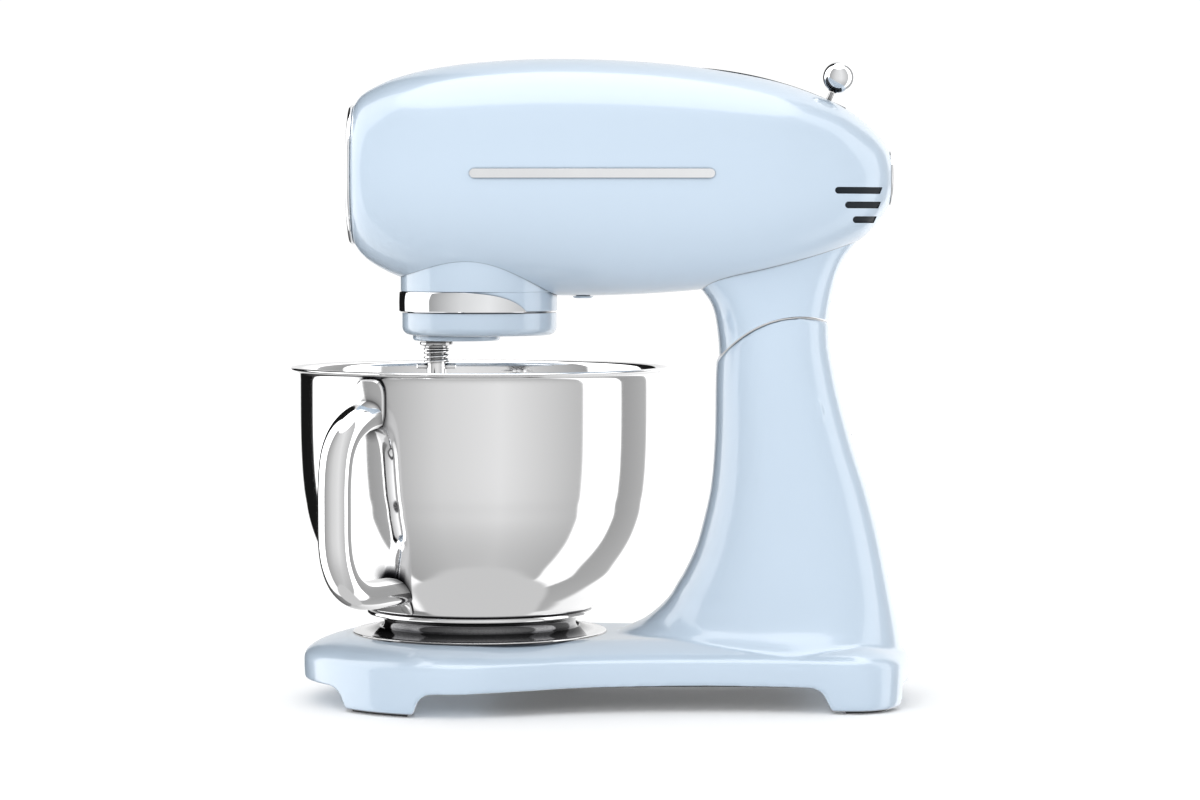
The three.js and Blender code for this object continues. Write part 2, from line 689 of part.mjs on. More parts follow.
// One rubber pad under a casting foot, grown by a distance to make its pocket.
function footPad([x0, x1], side, grow) {
  const y = side > 0 ? [FOOT_Y + 4 - grow, 120] : [-120, -FOOT_Y - 4 + grow];
  const layer = baseLayer([[7 - grow, 0], [7 - grow, 4 + grow]]);
  return layer.intersect(block([x0 + 4 - grow, x1 - 4 + grow], y, [-1, 10]));
}

function archCut() {
  const side = [
    [-108, -5], [-106.5, 1.6], [-104.4, 8], [-101, SKIRT_Z - 1.8], [-95, SKIRT_Z], [0, SKIRT_Z + 1.2],
      [60, SKIRT_Z + 1.6], [122, SKIRT_Z + 1],
    [127, SKIRT_Z - 1], [130, 8], [133, 2], [136, -5],
  ];
  const front = [[-200, -5], [-200, SKIRT_Z], [-156, SKIRT_Z], [-151.5, SKIRT_Z - 2], [-149, 8], [-147, 2],
    [-145, -5]];
  return union(
    prism(side, [-120, 120]),
    prism(front, [-120, 120]),
    block([-200, 200], [-FOOT_Y, FOOT_Y], [-5, SKIRT_Z]),
  );
}

const BUTTON_Z = 150;
const CORD_Z = 20.6;
function stand() {
  const base = baseLayer([
    [4, FOOT_Z], [1, SKIRT_Z - 1], [0, 20], [0, 26], [2, 29.8], [7, 33.3], [16, 36.8], [27, BASE_TOP],
  ]);
  const column = stack(COLUMN_HEIGHTS, columnFront, columnRear, columnHalf, 2.5, 24, columnFlare);
  const keep = union(hingeRod(PARTING_R - GAP, 90, 48), block([-200, 250], [-120, 120], [-5, 192]));
  const hollow = union(
    baseLayer([[6, SKIRT_Z - 0.1], [6, 26], [16, 30], [28, 34]]),
    stack(
      [20, 60, 100, 150, 186],
      (z) => columnFront(z + 8) + 6,
      (z) => columnRear(z) - 6,
      (z) => columnHalf(z) - 6,
      2.5,
      12,
    ),
  );
  const cheeks = union(
    rod("y", 13, -38, -TONGUE_HALF - 2, [HINGE_X, HINGE_Z], SEGMENTS),
    rod("y", 13, TONGUE_HALF + 2, 38, [HINGE_X, HINGE_Z], SEGMENTS),
  );
  const casting = union(cut(union(base, column.intersect(keep)), hollow, archCut()), cheeks);
  const mouth = prism(
    [polar(20, 150), polar(70, 128), polar(80, 105), polar(80, 66), polar(70, 44), polar(10, 20),
      polar(20, -60), polar(20, 210)],
    [-TONGUE_HALF - 1.6, TONGUE_HALF + 1.6],
  );
  const pockets = FEET.map(([, x, side]) => footPad(x, side, 0.3));
  return cut(
    casting,
    mouth,
    hingeRod(5.4, 35, 24),
    rod("x", 9.5, 130, 170, [0, BUTTON_Z]),
    rod("x", 5.4, 165, 190, [0, CORD_Z]),
    ...pockets,
    ...SEAT_SCREWS.map(([x, y]) => rod("z", 1.9, 30, 45, [x, y], 16)),
  );
}

const SEAT_SCREW_R = 40;
const SEAT_SCREWS = [90, 210, 330].map((a) => [
  AXIS_X + SEAT_SCREW_R * Math.cos(a * DEG),
  SEAT_SCREW_R * Math.sin(a * DEG),
]);

add("stand_casting", stand(), PAINT);
add("base_plate", baseLayer([[6.5, SKIRT_Z + 0.4], [6.5, SKIRT_Z + 2.4]]), DARK_PLASTIC);
for (const [name, x, side] of FEET) {
  add("foot_" + name, footPad(x, side, 0), RUBBER);
}
add("hinge_pin", hingeRod(5, 34.5, 24), GEAR_STEEL);
add("control_board", block([100, 138], [-28, 28], [60, 62]), GREEN_BOARD);

function cordGland() {
  const g = new THREE.LatheGeometry(
    [[2.6, 175.6], [5, 175.6], [5, 180.6], [4.2, 181.2], [2.6, 181.2], [2.6, 175.6]].map(
      ([r, x]) => new THREE.Vector2(r, x),
    ),
    24,
  );
  return solid(g.rotateZ(-Math.PI / 2).translate(0, 0, CORD_Z));
}
add("cord_gland", cordGland(), RUBBER);

// ---- head latch -----------------------------------------------------------------------------------------

function latchButton() {
  const g = new THREE.LatheGeometry(
    [[0, 127], [3, 127], [3, 137.4], [9, 137.4], [9, 147.4], [7.6, 149], [0, 149.6]].map(
      ([r, x]) => new THREE.Vector2(r, x),
    ),
    32,
  );
  return solid(g.rotateZ(-Math.PI / 2).translate(0, 0, BUTTON_Z));
}
add("release_button", latchButton(), CHROME);
add("latch_bolt", turned([[0, 128], [7, 128], [7, 131], [4, 131], [4, 152.6], [3, 154], [0, 154]], HINGE_X,
  0, 24), GEAR_STEEL);
add("latch_spring", spring(0.7, new Helix(5.4, 96, 121, 4, HINGE_X)), STEEL);

// ---- bowl and its seat ----------------------------------------------------------------------------------

const BOWL_WALL = 1.2;
const BOWL_OUTER = [
  [0, 50.4], [50, 50.4], [57, 50.9], [65.4, 53.7], [76.7, 64.3], [86.1, 75], [94.2, 89.2], [99.7, 103.4],
  [103.3, 121], [105.2, 142], [105.8, 191],
];
const bowlProfile = [
  ...BOWL_OUTER,
  [107.4, 194.4], [111, 195.4], [111.3, 196.2], [110.4, 197], [106.6, 196.9], [104.6, 194],
  ...BOWL_OUTER.slice(1, -1).reverse().map(([r, z], i, all) => {
    const lean = THREE.MathUtils.smoothstep(all.length - i, 0, all.length);
    return [r - BOWL_WALL * (0.25 + 0.75 * lean), z + BOWL_WALL * (1 - 0.8 * lean)];
  }),
  [0, 50.4 + BOWL_WALL],
];
const bowlShell = turned(bowlProfile, AXIS_X, 0, FINE);
const bowlClear = turned(
  [[0, 40], [67, 40],
  [67, 53.6], ...BOWL_OUTER.slice(4).map(([r, z]) => [r + GAP, z - GAP]), [108, 194], [0, 194]],
  AXIS_X, 0, FINE,
);
add("bowl_shell", bowlShell, STEEL);
add(
  "bowl_foot",
  turned(
    [
      [50, 41.8], [58.2, 41.8], [56.7, 46], [58.6, 49], [66.4, 51.2], [66.4, 53.3], [65.9, 53.3],
      [57, 50.4],
      [50, 49.9],
    ],
    AXIS_X, 0, FINE,
  ),
  STEEL,
);
add(
  "seat_ring",
  cut(
    turned(
      [[24, 39.9], [75, 39.9], [75, 40.7], [67, 41.9], [61, 44], [59.2, 44], [58.8, 41.4], [24, 41.4]],
      AXIS_X, 0, FINE,
    ),
    ...SEAT_SCREWS.map(([x, y]) => rod("z", 1.9, 30, 45, [x, y], 16)),
  ),
  STEEL,
);
SEAT_SCREWS.forEach(([x, y], i) => {
  add("seat_screw_" + (i + 1), turned([[0, 36], [1.5, 36], [1.5, 41.8], [3.4, 41.8], [2.6, 43.4],
    [0, 43.8]], x, y, 16), STEEL);
});

// The handle is drawn in the plane through the bowl axis: u is the distance from the axis.
const HANDLE_TURN = -124; // degrees round from +X
const HANDLE_HALF = 10.5;
function handle() {
  const outer = [
    [100, 181], [118, 178.6], [134.5, 168.5], [144, 154.5], [147.2, 138], [147.6, 118], [147.2, 101],
    [144.4, 86.5], [136.5, 72.5], [124, 64], [110, 61.6], [92, 61.4], [70, 61.4],
  ];
  const inner = [
    [70, 78.6], [92, 78.6], [110, 78.8], [118, 80.6], [125.4, 86.5], [129.4, 94], [131, 104], [131.2, 118],
    [130.8, 136], [128.4, 148.5], [123.6, 156.5], [114.5, 162.4], [100, 164.4],
  ];
  const smooth = (points) => new THREE.SplineCurve(shapeOf(points).getPoints()).getPoints(18);
  const g = new THREE.ExtrudeGeometry(new THREE.Shape([...smooth(outer), ...smooth(inner)]), {
    depth: 2 * HANDLE_HALF - 7,
    bevelThickness: 3.5,
    bevelSize: 3.5,
    bevelOffset: -3.5,
    bevelSegments: 2,
  });
  const bar = solid(g.translate(0, 0, 3.5 - HANDLE_HALF).rotateX(Math.PI / 2));
  const padLoop = superellipse(24, 10.5, 14, 3.4);
  const pad = loft([
    padLoop.map(([y, z]) => [98, y, z + 178.7]),
    padLoop.map(([y, z]) => [108.4, y, z + 178.7]),
  ]);
  return union(bar, pad).rotate([0, 0, HANDLE_TURN]).translate([AXIS_X, 0, 0]).subtract(bowlClear);
}
add("bowl_handle", handle(), STEEL);

// The handle and the bowl rim reach past the base, so the group moves until its
// bounding box stands centred on the origin.
group.position.set(0.293, 7.769, 0);

export default group;
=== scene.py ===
"""Looks of the tilt-head stand mixer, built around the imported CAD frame.

Shapes are worked out in millimetres in the part's own design frame: Z up, nose along -X, handle on the -Y
side, Y = 0 on the mixer's centre plane. ORIGIN, read from the frame, takes them to Blender's metres.
"""

import json
import math

import bpy
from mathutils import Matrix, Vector

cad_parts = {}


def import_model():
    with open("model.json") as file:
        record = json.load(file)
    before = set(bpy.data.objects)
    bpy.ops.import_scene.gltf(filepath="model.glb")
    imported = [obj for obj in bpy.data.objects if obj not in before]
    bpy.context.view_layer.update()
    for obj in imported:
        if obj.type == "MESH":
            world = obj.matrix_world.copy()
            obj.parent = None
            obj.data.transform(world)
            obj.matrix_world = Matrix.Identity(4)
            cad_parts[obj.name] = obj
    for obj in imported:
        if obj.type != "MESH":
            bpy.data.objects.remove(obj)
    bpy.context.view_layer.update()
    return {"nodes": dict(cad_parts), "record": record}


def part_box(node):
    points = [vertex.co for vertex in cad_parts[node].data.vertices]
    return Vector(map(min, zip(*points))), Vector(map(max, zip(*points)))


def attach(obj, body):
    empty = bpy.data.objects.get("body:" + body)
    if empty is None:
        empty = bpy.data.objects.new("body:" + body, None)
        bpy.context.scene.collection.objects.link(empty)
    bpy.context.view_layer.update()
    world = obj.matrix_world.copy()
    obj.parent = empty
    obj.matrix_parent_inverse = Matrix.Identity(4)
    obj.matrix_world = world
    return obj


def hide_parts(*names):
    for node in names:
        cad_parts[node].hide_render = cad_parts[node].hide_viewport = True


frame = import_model()

MM = 0.001
SHARP = math.radians(32)

# Bowl and planetary axis
AXIS_X = -71.3
BEATER_X = AXIS_X - 25.5
HOUSING_R = 46.5

# Head
WALL = 3.0
NOSE_X = -144.9
TAIL_X = 170.6
TAIL_Z = 308.0
PTO_Z = 310.0

# Tilt hinge
HINGE_X = 116.8
HINGE_Z = 170.0
PARTING_R = 56.7
PARTING_GAP = 0.45
TONGUE_HALF = 11.0
PIN_WAY_R = 5.4

# Speed lever arc
ARC_X = 41.6
ARC_Z = 142.4
ARC_R = 231.0
LEVER_ANGLE = 23.8
KNOB_R = 9.3

# Base
BASE_TOP = 39.5
SKIRT_Z = 14.0
FOOT_Z = 1.6
FOOT_Y = 50.0
STAND_WALL = 6.0
STAND_VOXEL = 1.3

# Back of the column
BUTTON_Z = 150.0
CORD_Z = 20.6

# Camera
FOCAL = 108.5
CAMERA_DISTANCE = 2140.0
CAMERA_HEIGHT = 275.6
CAMERA_PITCH = 2.64

# Studio: brightness of what reflections see, and of the light that falls on everything
PANEL = 2.6
DARK_CORNER = 0.01
CEILING = 4.4
LOW_WALLS = 0.5
GROUND = 0.72
AMBIENT = 1.05
KEY_WATTS = 3.5
FILL_WATTS = 9.0
FLOOR_HALF = 6.0


def box_centre(node):
    low, high = (Vector(corner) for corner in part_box(node))
    return (low + high) / 2


bowl_centre = box_centre("bowl_shell")
ORIGIN = Vector((bowl_centre.x - AXIS_X * MM, bowl_centre.y, 0))


# ---- numbers and outlines --------------------------------------------------------------------------------


def spread(start, end, steps):
    return [start + (end - start) * i / steps for i in range(steps + 1)]


def through(points):
    """A smooth function through (at, value) points."""
    at = [p[0] for p in points]
    values = [p[1] for p in points]
    last = len(at) - 1
    slopes = []
    for i in range(last + 1):
        before, after = max(i - 1, 0), min(i + 1, last)
        slopes.append((values[after] - values[before]) / (at[after] - at[before]))

    def value(a):
        a = min(max(a, at[0]), at[-1])
        i = max(k for k in range(last) if at[k] <= a)
        width = at[i + 1] - at[i]
        t = (a - at[i]) / width
        lift = (2 * t**3 - 3 * t**2 + 1) * values[i] + (3 * t**2 - 2 * t**3) * values[i + 1]
        bend = (t**3 - 2 * t**2 + t) * slopes[i] + (t**3 - t**2) * slopes[i + 1]
        return lift + bend * width

    return value


def superellipse(count, a, b, power, flare=0.0):
    """A rounded loop with half sizes a and b; the flare widens it towards +u."""
    loop = []
    for i in range(count):
        t = 2 * math.pi * i / count
        c, s = math.cos(t), math.sin(t)
        u = math.copysign(abs(c) ** (2 / power), c)
        v = math.copysign(abs(s) ** (2 / power), s)
        loop.append((a * u, b * v * (1 + flare * u)))
    return loop


def polar(centre, radius, degrees):
    a = math.radians(degrees)
    return centre[0] + radius * math.cos(a), centre[1] + radius * math.sin(a)


def arc(centre, radius, start, end, steps=8):
    return [polar(centre, radius, a) for a in spread(start, end, steps)]


# ---- mesh helpers ----------------------------------------------------------------------------------------


def new_object(name, points, faces):
    """A mesh object from design-frame points in millimetres."""
    mesh = bpy.data.meshes.new(name)
    mesh.from_pydata([Vector(p) * MM + ORIGIN for p in points], [], faces)
    mesh.validate()
    obj = bpy.data.objects.new(name, mesh)
    bpy.context.scene.collection.objects.link(obj)
    return obj


def face_out(obj):
    """Turns a closed mesh's faces outwards."""
    mesh = obj.data
    mesh.calc_loop_triangles()
    volume = 0.0
    for tri in mesh.loop_triangles:
        a, b, c = (mesh.vertices[i].co for i in tri.vertices)
        volume += a.dot(b.cross(c))
    if volume < 0:
        mesh.flip_normals()
    return obj


def loft(name, rings, closed_ends=True):
    count = len(rings[0])
    points = [p for ring in rings for p in ring]
    faces = []
    for i in range(len(rings) - 1):
        for j in range(count):
            a, b = i * count + j, i * count + (j + 1) % count
            faces.append((a, b, b + count, a + count))
    if closed_ends:
        last = (len(rings) - 1) * count
        faces.append(tuple(reversed(range(count))))
        faces.append(tuple(last + j for j in range(count)))
    return face_out(new_object(name, points, faces))


def lathe(name, profile, place, segments=128):
    """Turns a closed (radius, height) profile; place maps (radius, angle, height) to a point.
    Points at radius 0 become poles."""
    points, rows = [], []
    for r, h in profile:
        if r < 1e-6:
            rows.append([len(points)] * segments)
            points.append(place(0, 0, h))
        else:
            rows.append(list(range(len(points), len(points) + segments)))
            points.extend(place(r, 2 * math.pi * j / segments, h) for j in range(segments))
    faces = []
    for row, following in zip(rows, rows[1:] + rows[:1]):
        for j in range(segments):
            k = (j + 1) % segments
            corners = [row[j], row[k], following[k], following[j]]
            unique = list(dict.fromkeys(corners))
            if len(unique) > 2:
                faces.append(tuple(unique))
    return face_out(new_object(name, points, faces))


def upright(x=0.0, y=0.0):
    return lambda r, a, h: (x + r * math.cos(a), y + r * math.sin(a), h)


def lengthwise(z):
    """Turned about the horizontal through height z on the centre plane."""
    return lambda r, a, h: (h, r * math.cos(a), z + r * math.sin(a))


def crosswise(x, z):
    return lambda r, a, h: (x + r * math.cos(a), h, z + r * math.sin(a))


def rod(name, radius, start, end, place, segments=96):
    return lathe(name, [(0, start), (radius, start), (radius, end), (0, end)], place, segments)


def prism(name, outline, y0, y1):
    """An outline in X and Z drawn out along Y."""
    return loft(name, [[(x, y, z) for x, z in outline] for y in (y0, y1)])


def block(name, xs, ys, zs):
    return prism(name, [(xs[0], zs[0]), (xs[1], zs[0]), (xs[1], zs[1]), (xs[0], zs[1])], *ys)


def bake(obj):
    """Applies the object's modifiers to its mesh."""
    graph = bpy.context.evaluated_depsgraph_get()
    mesh = bpy.data.meshes.new_from_object(obj.evaluated_get(graph))
    obj.modifiers.clear()
    obj.data = mesh
    return obj


def combine(obj, how, *others):
    """A boolean of obj with each of the others, which are used up."""
    for other in others:
        step = obj.modifiers.new("combine", "BOOLEAN")
        step.operation = how
        step.solver = "EXACT"
        step.object = other
        bake(obj)
        bpy.data.objects.remove(other)
    return obj


def cut(obj, *others):
    return combine(obj, "DIFFERENCE", *others)


def join(obj, *others):
    return combine(obj, "UNION", *others)


def overlap(obj, *others):
    return combine(obj, "INTERSECT", *others)


def remelt(obj, voxel, passes):
    """Rebuilds the skin in small even faces and relaxes it, which rounds every edge like thick enamel."""
    remesh = obj.modifiers.new("remelt", "REMESH")
    remesh.mode = "VOXEL"
    remesh.voxel_size = voxel * MM
    relax = obj.modifiers.new("relax", "SMOOTH")
    relax.factor = 0.5
    relax.iterations = passes
    return bake(obj)


def round_edges(obj, width, segments=3, angle=30):
    bevel = obj.modifiers.new("round", "BEVEL")
    bevel.width = width * MM
    bevel.segments = segments
    bevel.limit_method = "ANGLE"
    bevel.angle_limit = math.radians(angle)
    return bake(obj)


def piece(obj, body, slot, material, *nodes, sharp=SHARP):
    """Finishes a visible piece: it rides on a body and stands for CAD nodes."""
    obj.data.materials.clear()
    obj.data.materials.append(material)
    obj.data.shade_smooth()
    obj.data.set_sharp_from_angle(angle=sharp)
    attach(obj, body)
    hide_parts(*nodes)
    # The bowl's mirror shows the studio instead of the column, and its glare stays off the head.
    kept_out = body in ("stand", "button") or "neck_casting" in nodes or "bowl_shell" in nodes
    obj.visible_glossy = not kept_out
    return obj


# ---- materials -------------------------------------------------------------------------------------------


class Shader:
    """A material with one Principled shader and a few helpers for its textures."""

    def __init__(self, name, color, roughness, metallic=0.0, **sockets):
        self.material = bpy.data.materials.new(name)
        self.material.use_nodes = True
        self.nodes = self.material.node_tree.nodes
        self.links = self.material.node_tree.links
        self.bsdf = self.nodes["Principled BSDF"]
        self.color = color
        self.bsdf.inputs["Base Color"].default_value = (*color, 1)
        self.bsdf.inputs["Roughness"].default_value = roughness
        self.bsdf.inputs["Metallic"].default_value = metallic
        for socket, value in sockets.items():
            self.bsdf.inputs[socket.replace("_", " ")].default_value = value
        self.material.diffuse_color = (*color, 1)
        self.coords = self.nodes.new("ShaderNodeTexCoord").outputs["Object"]

    def stretched(self, scale):
        mapping = self.nodes.new("ShaderNodeMapping")
        mapping.inputs["Scale"].default_value = scale
        self.links.new(self.coords, mapping.inputs["Vector"])
        return mapping.outputs["Vector"]

    def noise(self, scale, detail=3.0, stretch=None):
        texture = self.nodes.new("ShaderNodeTexNoise")
        texture.inputs["Scale"].default_value = scale
        texture.inputs["Detail"].default_value = detail
        vector = self.stretched(stretch) if stretch else self.coords
        self.links.new(vector, texture.inputs["Vector"])
        return texture.outputs["Fac"]

    def spread(self, source, low, high):
        """Maps a 0 to 1 texture onto low to high."""
        step = self.nodes.new("ShaderNodeMapRange")
        step.inputs["From Min"].default_value = 0.3
        step.inputs["From Max"].default_value = 0.7
        step.inputs["To Min"].default_value = low
        step.inputs["To Max"].default_value = high
        self.links.new(source, step.inputs["Value"])
        return step.outputs["Result"]

    def vary_roughness(self, source, low, high):
        self.links.new(self.spread(source, low, high), self.bsdf.inputs["Roughness"])

    def vary_color(self, source, other):
        mix = self.nodes.new("ShaderNodeMix")
        mix.data_type = "RGBA"
        mix.inputs["A"].default_value = (*self.color, 1)
        mix.inputs["B"].default_value = (*other, 1)
        self.links.new(self.spread(source, 0, 1), mix.inputs["Factor"])
        self.links.new(mix.outputs["Result"], self.bsdf.inputs["Base Color"])

    def paint_crevice_shade(self, reach, dark):
        """Painted shade: darkens the base colour where an ambient occlusion test finds a narrow gap,
        standing in for the shadow that polished metal mirrors there.
        """
        gap = self.nodes.new("ShaderNodeAmbientOcclusion")
        gap.inputs["Distance"].default_value = reach
        ramp = self.nodes.new("ShaderNodeValToRGB")
        ramp.color_ramp.elements[0].position = 0.45
        ramp.color_ramp.elements[0].color = (*dark, 1)
        ramp.color_ramp.elements[1].position = 0.85
        ramp.color_ramp.elements[1].color = (*self.color, 1)
        self.links.new(gap.outputs["AO"], ramp.inputs["Fac"])
        self.links.new(ramp.outputs["Color"], self.bsdf.inputs["Base Color"])

    def bump(self, source, distance, strength=1.0):
        step = self.nodes.new("ShaderNodeBump")
        step.inputs["Distance"].default_value = distance
        step.inputs["Strength"].default_value = strength
        self.links.new(source, step.inputs["Height"])
        self.links.new(step.outputs["Normal"], self.bsdf.inputs["Normal"])


def enamel():
    made = Shader("enamel", (0.473, 0.572, 0.68), 0.3, Coat_Weight=0.6, Coat_Roughness=0.025)
    # Painted shade: the enamel's colour goes dark blue-black in gaps and creases narrower than about 3 mm.
    made.paint_crevice_shade(0.003, (0.06, 0.09, 0.13))
    made.vary_roughness(made.noise(60, 2), 0.28, 0.32)
    made.bump(made.noise(420, 2), 0.000004, 0.4)
    return made.material


def chrome():
    made = Shader("chrome", (0.86, 0.87, 0.88), 0.04, 1.0)
    made.vary_color(made.noise(35, 3), (0.82, 0.83, 0.845))
    made.vary_roughness(made.noise(140, 4), 0.03, 0.06)
    return made.material


def polished_steel():
    """Stainless steel polished round its axis: faint rings at even heights."""
    made = Shader("polished_steel", (0.79, 0.79, 0.795), 0.07, 1.0)
    rings = made.noise(1.0, 4, stretch=(6, 6, 2600))
    # Painted shade: the steel's colour goes near black in recesses within about 12 mm, such as the bowl
    # foot's ring.
    made.paint_crevice_shade(0.012, (0.03, 0.03, 0.033))
    made.vary_roughness(rings, 0.05, 0.085)
    made.bump(rings, 0.0000015, 0.3)
    return made.material


def dark_plastic():
    made = Shader("dark_plastic", (0.003, 0.007, 0.012), 0.5, Specular_IOR_Level=0.25)
    grain = made.noise(1400, 3)
    made.vary_color(made.noise(50, 3), (0.005, 0.01, 0.016))
    made.vary_roughness(made.noise(90, 3), 0.44, 0.56)
    made.bump(grain, 0.00003, 0.4)
    return made.material


def rubber():
    made = Shader("rubber", (0.022, 0.022, 0.024), 0.8)
    made.vary_color(made.noise(120, 4), (0.035, 0.035, 0.037))
    made.vary_roughness(made.noise(240, 3), 0.7, 0.88)
    made.bump(made.noise(1800, 3), 0.00005, 0.5)
    return made.material


def cast_aluminium():
    made = Shader("cast_aluminium", (0.60, 0.61, 0.62), 0.42, 1.0)
    made.vary_color(made.noise(160, 4), (0.52, 0.53, 0.545))
    made.vary_roughness(made.noise(300, 3), 0.34, 0.52)
    made.bump(made.noise(900, 3), 0.00006, 0.6)
    return made.material


def machined_steel():
    made = Shader("machined_steel", (0.44, 0.45, 0.47), 0.3, 1.0)
    turning = made.noise(1.0, 2, stretch=(40, 40, 2200))
    made.vary_color(made.noise(70, 4), (0.36, 0.37, 0.39))
    made.vary_roughness(turning, 0.22, 0.38)
    made.bump(turning, 0.00001, 0.4)
    return made.material


def nylon():
    made = Shader("nylon", (0.82, 0.79, 0.7), 0.5, Subsurface_Weight=0.15, Subsurface_Scale=0.002)
    made.vary_color(made.noise(45, 3), (0.77, 0.73, 0.62))
    made.vary_roughness(made.noise(200, 3), 0.42, 0.58)
    made.bump(made.noise(700, 2), 0.00003, 0.3)
    return made.material


def enamelled_copper():
    made = Shader("enamelled_copper", (0.55, 0.22, 0.08), 0.28, 1.0)
    turns = made.noise(1.0, 1, stretch=(20, 20, 3200))
    made.vary_color(turns, (0.38, 0.13, 0.045))
    made.vary_roughness(turns, 0.22, 0.4)
    made.bump(turns, 0.0001, 0.8)
    return made.material


def circuit_board():
    made = Shader("circuit_board", (0.012, 0.11, 0.045), 0.35)
    cells = made.nodes.new("ShaderNodeTexVoronoi")
    cells.distance = "MANHATTAN"
    cells.inputs["Scale"].default_value = 260
    made.links.new(made.coords, cells.inputs["Vector"])
    made.vary_color(cells.outputs["Distance"], (0.03, 0.2, 0.08))
    made.vary_roughness(made.noise(150, 3), 0.28, 0.42)
    made.bump(cells.outputs["Distance"], 0.00005, 0.5)
    return made.material


MATERIALS = {
    "paint": enamel(),
    "chrome": chrome(),
    "polished_steel": polished_steel(),
    "dark_plastic": dark_plastic(),
    "rubber": rubber(),
    "aluminium": cast_aluminium(),
    "gear_steel": machined_steel(),
    "nylon": nylon(),
    "copper": enamelled_copper(),
    "board": circuit_board(),
}


def dress_cad_nodes():
    """Every CAD node takes its slot's finish; the ones still showing keep their own mesh."""
    for row in frame["record"]["subparts"]:
        node = frame["nodes"][row["node"]]
        node.visible_glossy = False
        materials = node.data.materials
        materials.clear()
        materials.append(MATERIALS[row["material_slot"]])


def finish(obj, body, slot, *nodes, **options):
    return piece(obj, body, slot, MATERIALS[slot], *nodes, **options)


dress_cad_nodes()

# ---- head ------------------------------------------------------------------------------------------------

head_top = through([
    (-144.9, 350.8), (-141, 356.2), (-134.1, 360.9), (-120.3, 367), (-98.6, 372.4), (-71, 376.1),
    (-29.6, 378.2), (19.7, 376.8), (62.1, 372.6), (103.5, 364.9), (132.1, 355.2), (145.9, 348.2),
    (159.7, 337.6), (166.6, 330), (170.6, 323.5),
])
head_bottom = through([
    (-144.9, 269.4), (-141, 263.8), (-134.1, 258), (-120.3, 250.8), (-98.6, 244.4), (-71, 240.6),
    (-21.7, 238.9), (12.8, 239.3), (54.2, 241.9), (78.9, 245.2), (103.5, 250.6), (128.2, 258.9),
    (152.8, 271.4), (160.7, 278.6), (166.6, 286), (170.6, 292.5),
])
head_half = through([
    (-144.9, 40.6), (-141, 46), (-134.1, 50.5), (-120.3, 55.5), (-98.6, 60), (-71, 62.8), (-29.6, 64.5),
    (19.7, 64.5), (62.1, 62.6), (103.5, 58), (132.1, 50.5), (145.9, 45), (159.7, 36), (166.6, 27.5),
    (170.6, 19),
])
head_power = through([(-144.9, 2), (-134.1, 2.1), (-98.6, 2.25), (19.7, 2.35), (118.3, 2.3), (170.6, 2.1)])


def head_ring(x, inset, count):
    top, bottom = head_top(x) - inset, head_bottom(x) + inset
    loop = superellipse(count, head_half(x) - inset, (top - bottom) / 2, head_power(x))
    return [(x, y, z + (top + bottom) / 2) for y, z in loop]


def eased(start, end, steps):
    """Stations that crowd towards both ends."""
    mid, half = (start + end) / 2, (end - start) / 2
    return [mid - half * math.cos(math.pi * i / steps) for i in range(steps + 1)]


def head_body(name, inset, start=NOSE_X, end=TAIL_X, steps=110, count=112):
    return loft(name, [head_ring(x, inset, count) for x in eased(start, end, steps)])


def arc_band(name, radii, angles, half_width, steps=30):
    """A band along the speed lever's arc; angles are degrees back from the top."""
    centre = (ARC_X, ARC_Z)
    outer = arc(centre, radii[1], 90 - angles[0], 90 - angles[1], steps)
    inner = arc(centre, radii[0], 90 - angles[1], 90 - angles[0], steps)
    return prism(name, outer + inner, -half_width, half_width)


def lever_slot():
    return arc_band("slot", (ARC_R - 11, ARC_R + 9), (2.6, 25.6), 2.3)


VENT_SLOTS = [(135.7, 164.6, 300.4), (141.8, 164, 292), (146.8, 162, 283.5)]
VENT_HALF = 1.95


def vent_slot(x0, x1, z, grow, side):
    """A slot with a round front end and a slanted rear end, along Y through one wall."""
    half = VENT_HALF + grow
    front = arc((x0 + VENT_HALF, z), half, 90, 270, 10)
    rear = [(x1 - 1.6 + grow, z - half), (x1 + grow, z + half)]
    y0, y1 = sorted((side * 12, side * 70))
    return prism("slot", front + rear, y0, y1)


def vent_slots(side, grow):
    return [vent_slot(x0, x1, z, grow, side) for x0, x1, z in VENT_SLOTS]


def head_shell():
    shell = head_body("head_shell_skin", 0)
    cavity = head_body("cavity", WALL, NOSE_X + 3.5, TAIL_X - 5, 50, 64)
    cut(shell, cavity)
    cut(shell, rod("bore", HOUSING_R + 0.35, 200, 262, upright(AXIS_X)))
    cut(shell, rod("nose_hole", 24, -150, -140, lengthwise(PTO_Z)))
    cut(shell, arc_band("recess", (ARC_R - 1.3, ARC_R + 9), (1.4, 26.8), 7.2))
    cut(shell, lever_slot())
    cut(shell, rod("plug_hole", 4.4, 230, 250, upright(-10)))
    cut(shell, block("neck_way", (82, 122), (-18, 18), (230, 262)))
    for side in (-1, 1):
        cut(shell, *vent_slots(side, 0))
    return finish(shell, "head", "paint", "head_shell")


def vent_grille(name, side):
    grille = head_body(name + "_panel", WALL + 0.4, 129, 166, 24)
    y0, y1 = sorted((side * 10, side * 70))
    overlap(grille, block("half", (133, 165), (y0, y1), (279, 305)))
    cut(grille, head_body("inside", WALL + 2.4, 118, TAIL_X - 1, 30))
    bars = vent_slots(side, -0.25)
    for bar in bars:
        skin = head_body("skin", 0.7, 129, TAIL_X, 30)
        overlap(bar, skin)
        cut(bar, head_body("inside", WALL + 1.4, 118, TAIL_X - 1, 30))
        join(grille, bar)
    return finish(grille, "head", "dark_plastic", name)


def side_trim(name, side):
    """A plain polished bar let into the side of the head."""
    half = 2.6
    outline = arc((-75 + half, PTO_Z), half, 90, 270, 12) + arc((66 - half, PTO_Z), half, -90, 90, 12)
    y0, y1 = sorted((side * 40, side * 75))
    trim = prism(name + "_bar", outline, y0, y1)
    overlap(trim, head_body("skin", -1.5, -90, 80, 60))
    cut(trim, head_body("inner", -0.25, -95, 85, 60))
    return finish(round_edges(trim, 1.3, 6), "head", "chrome", name)


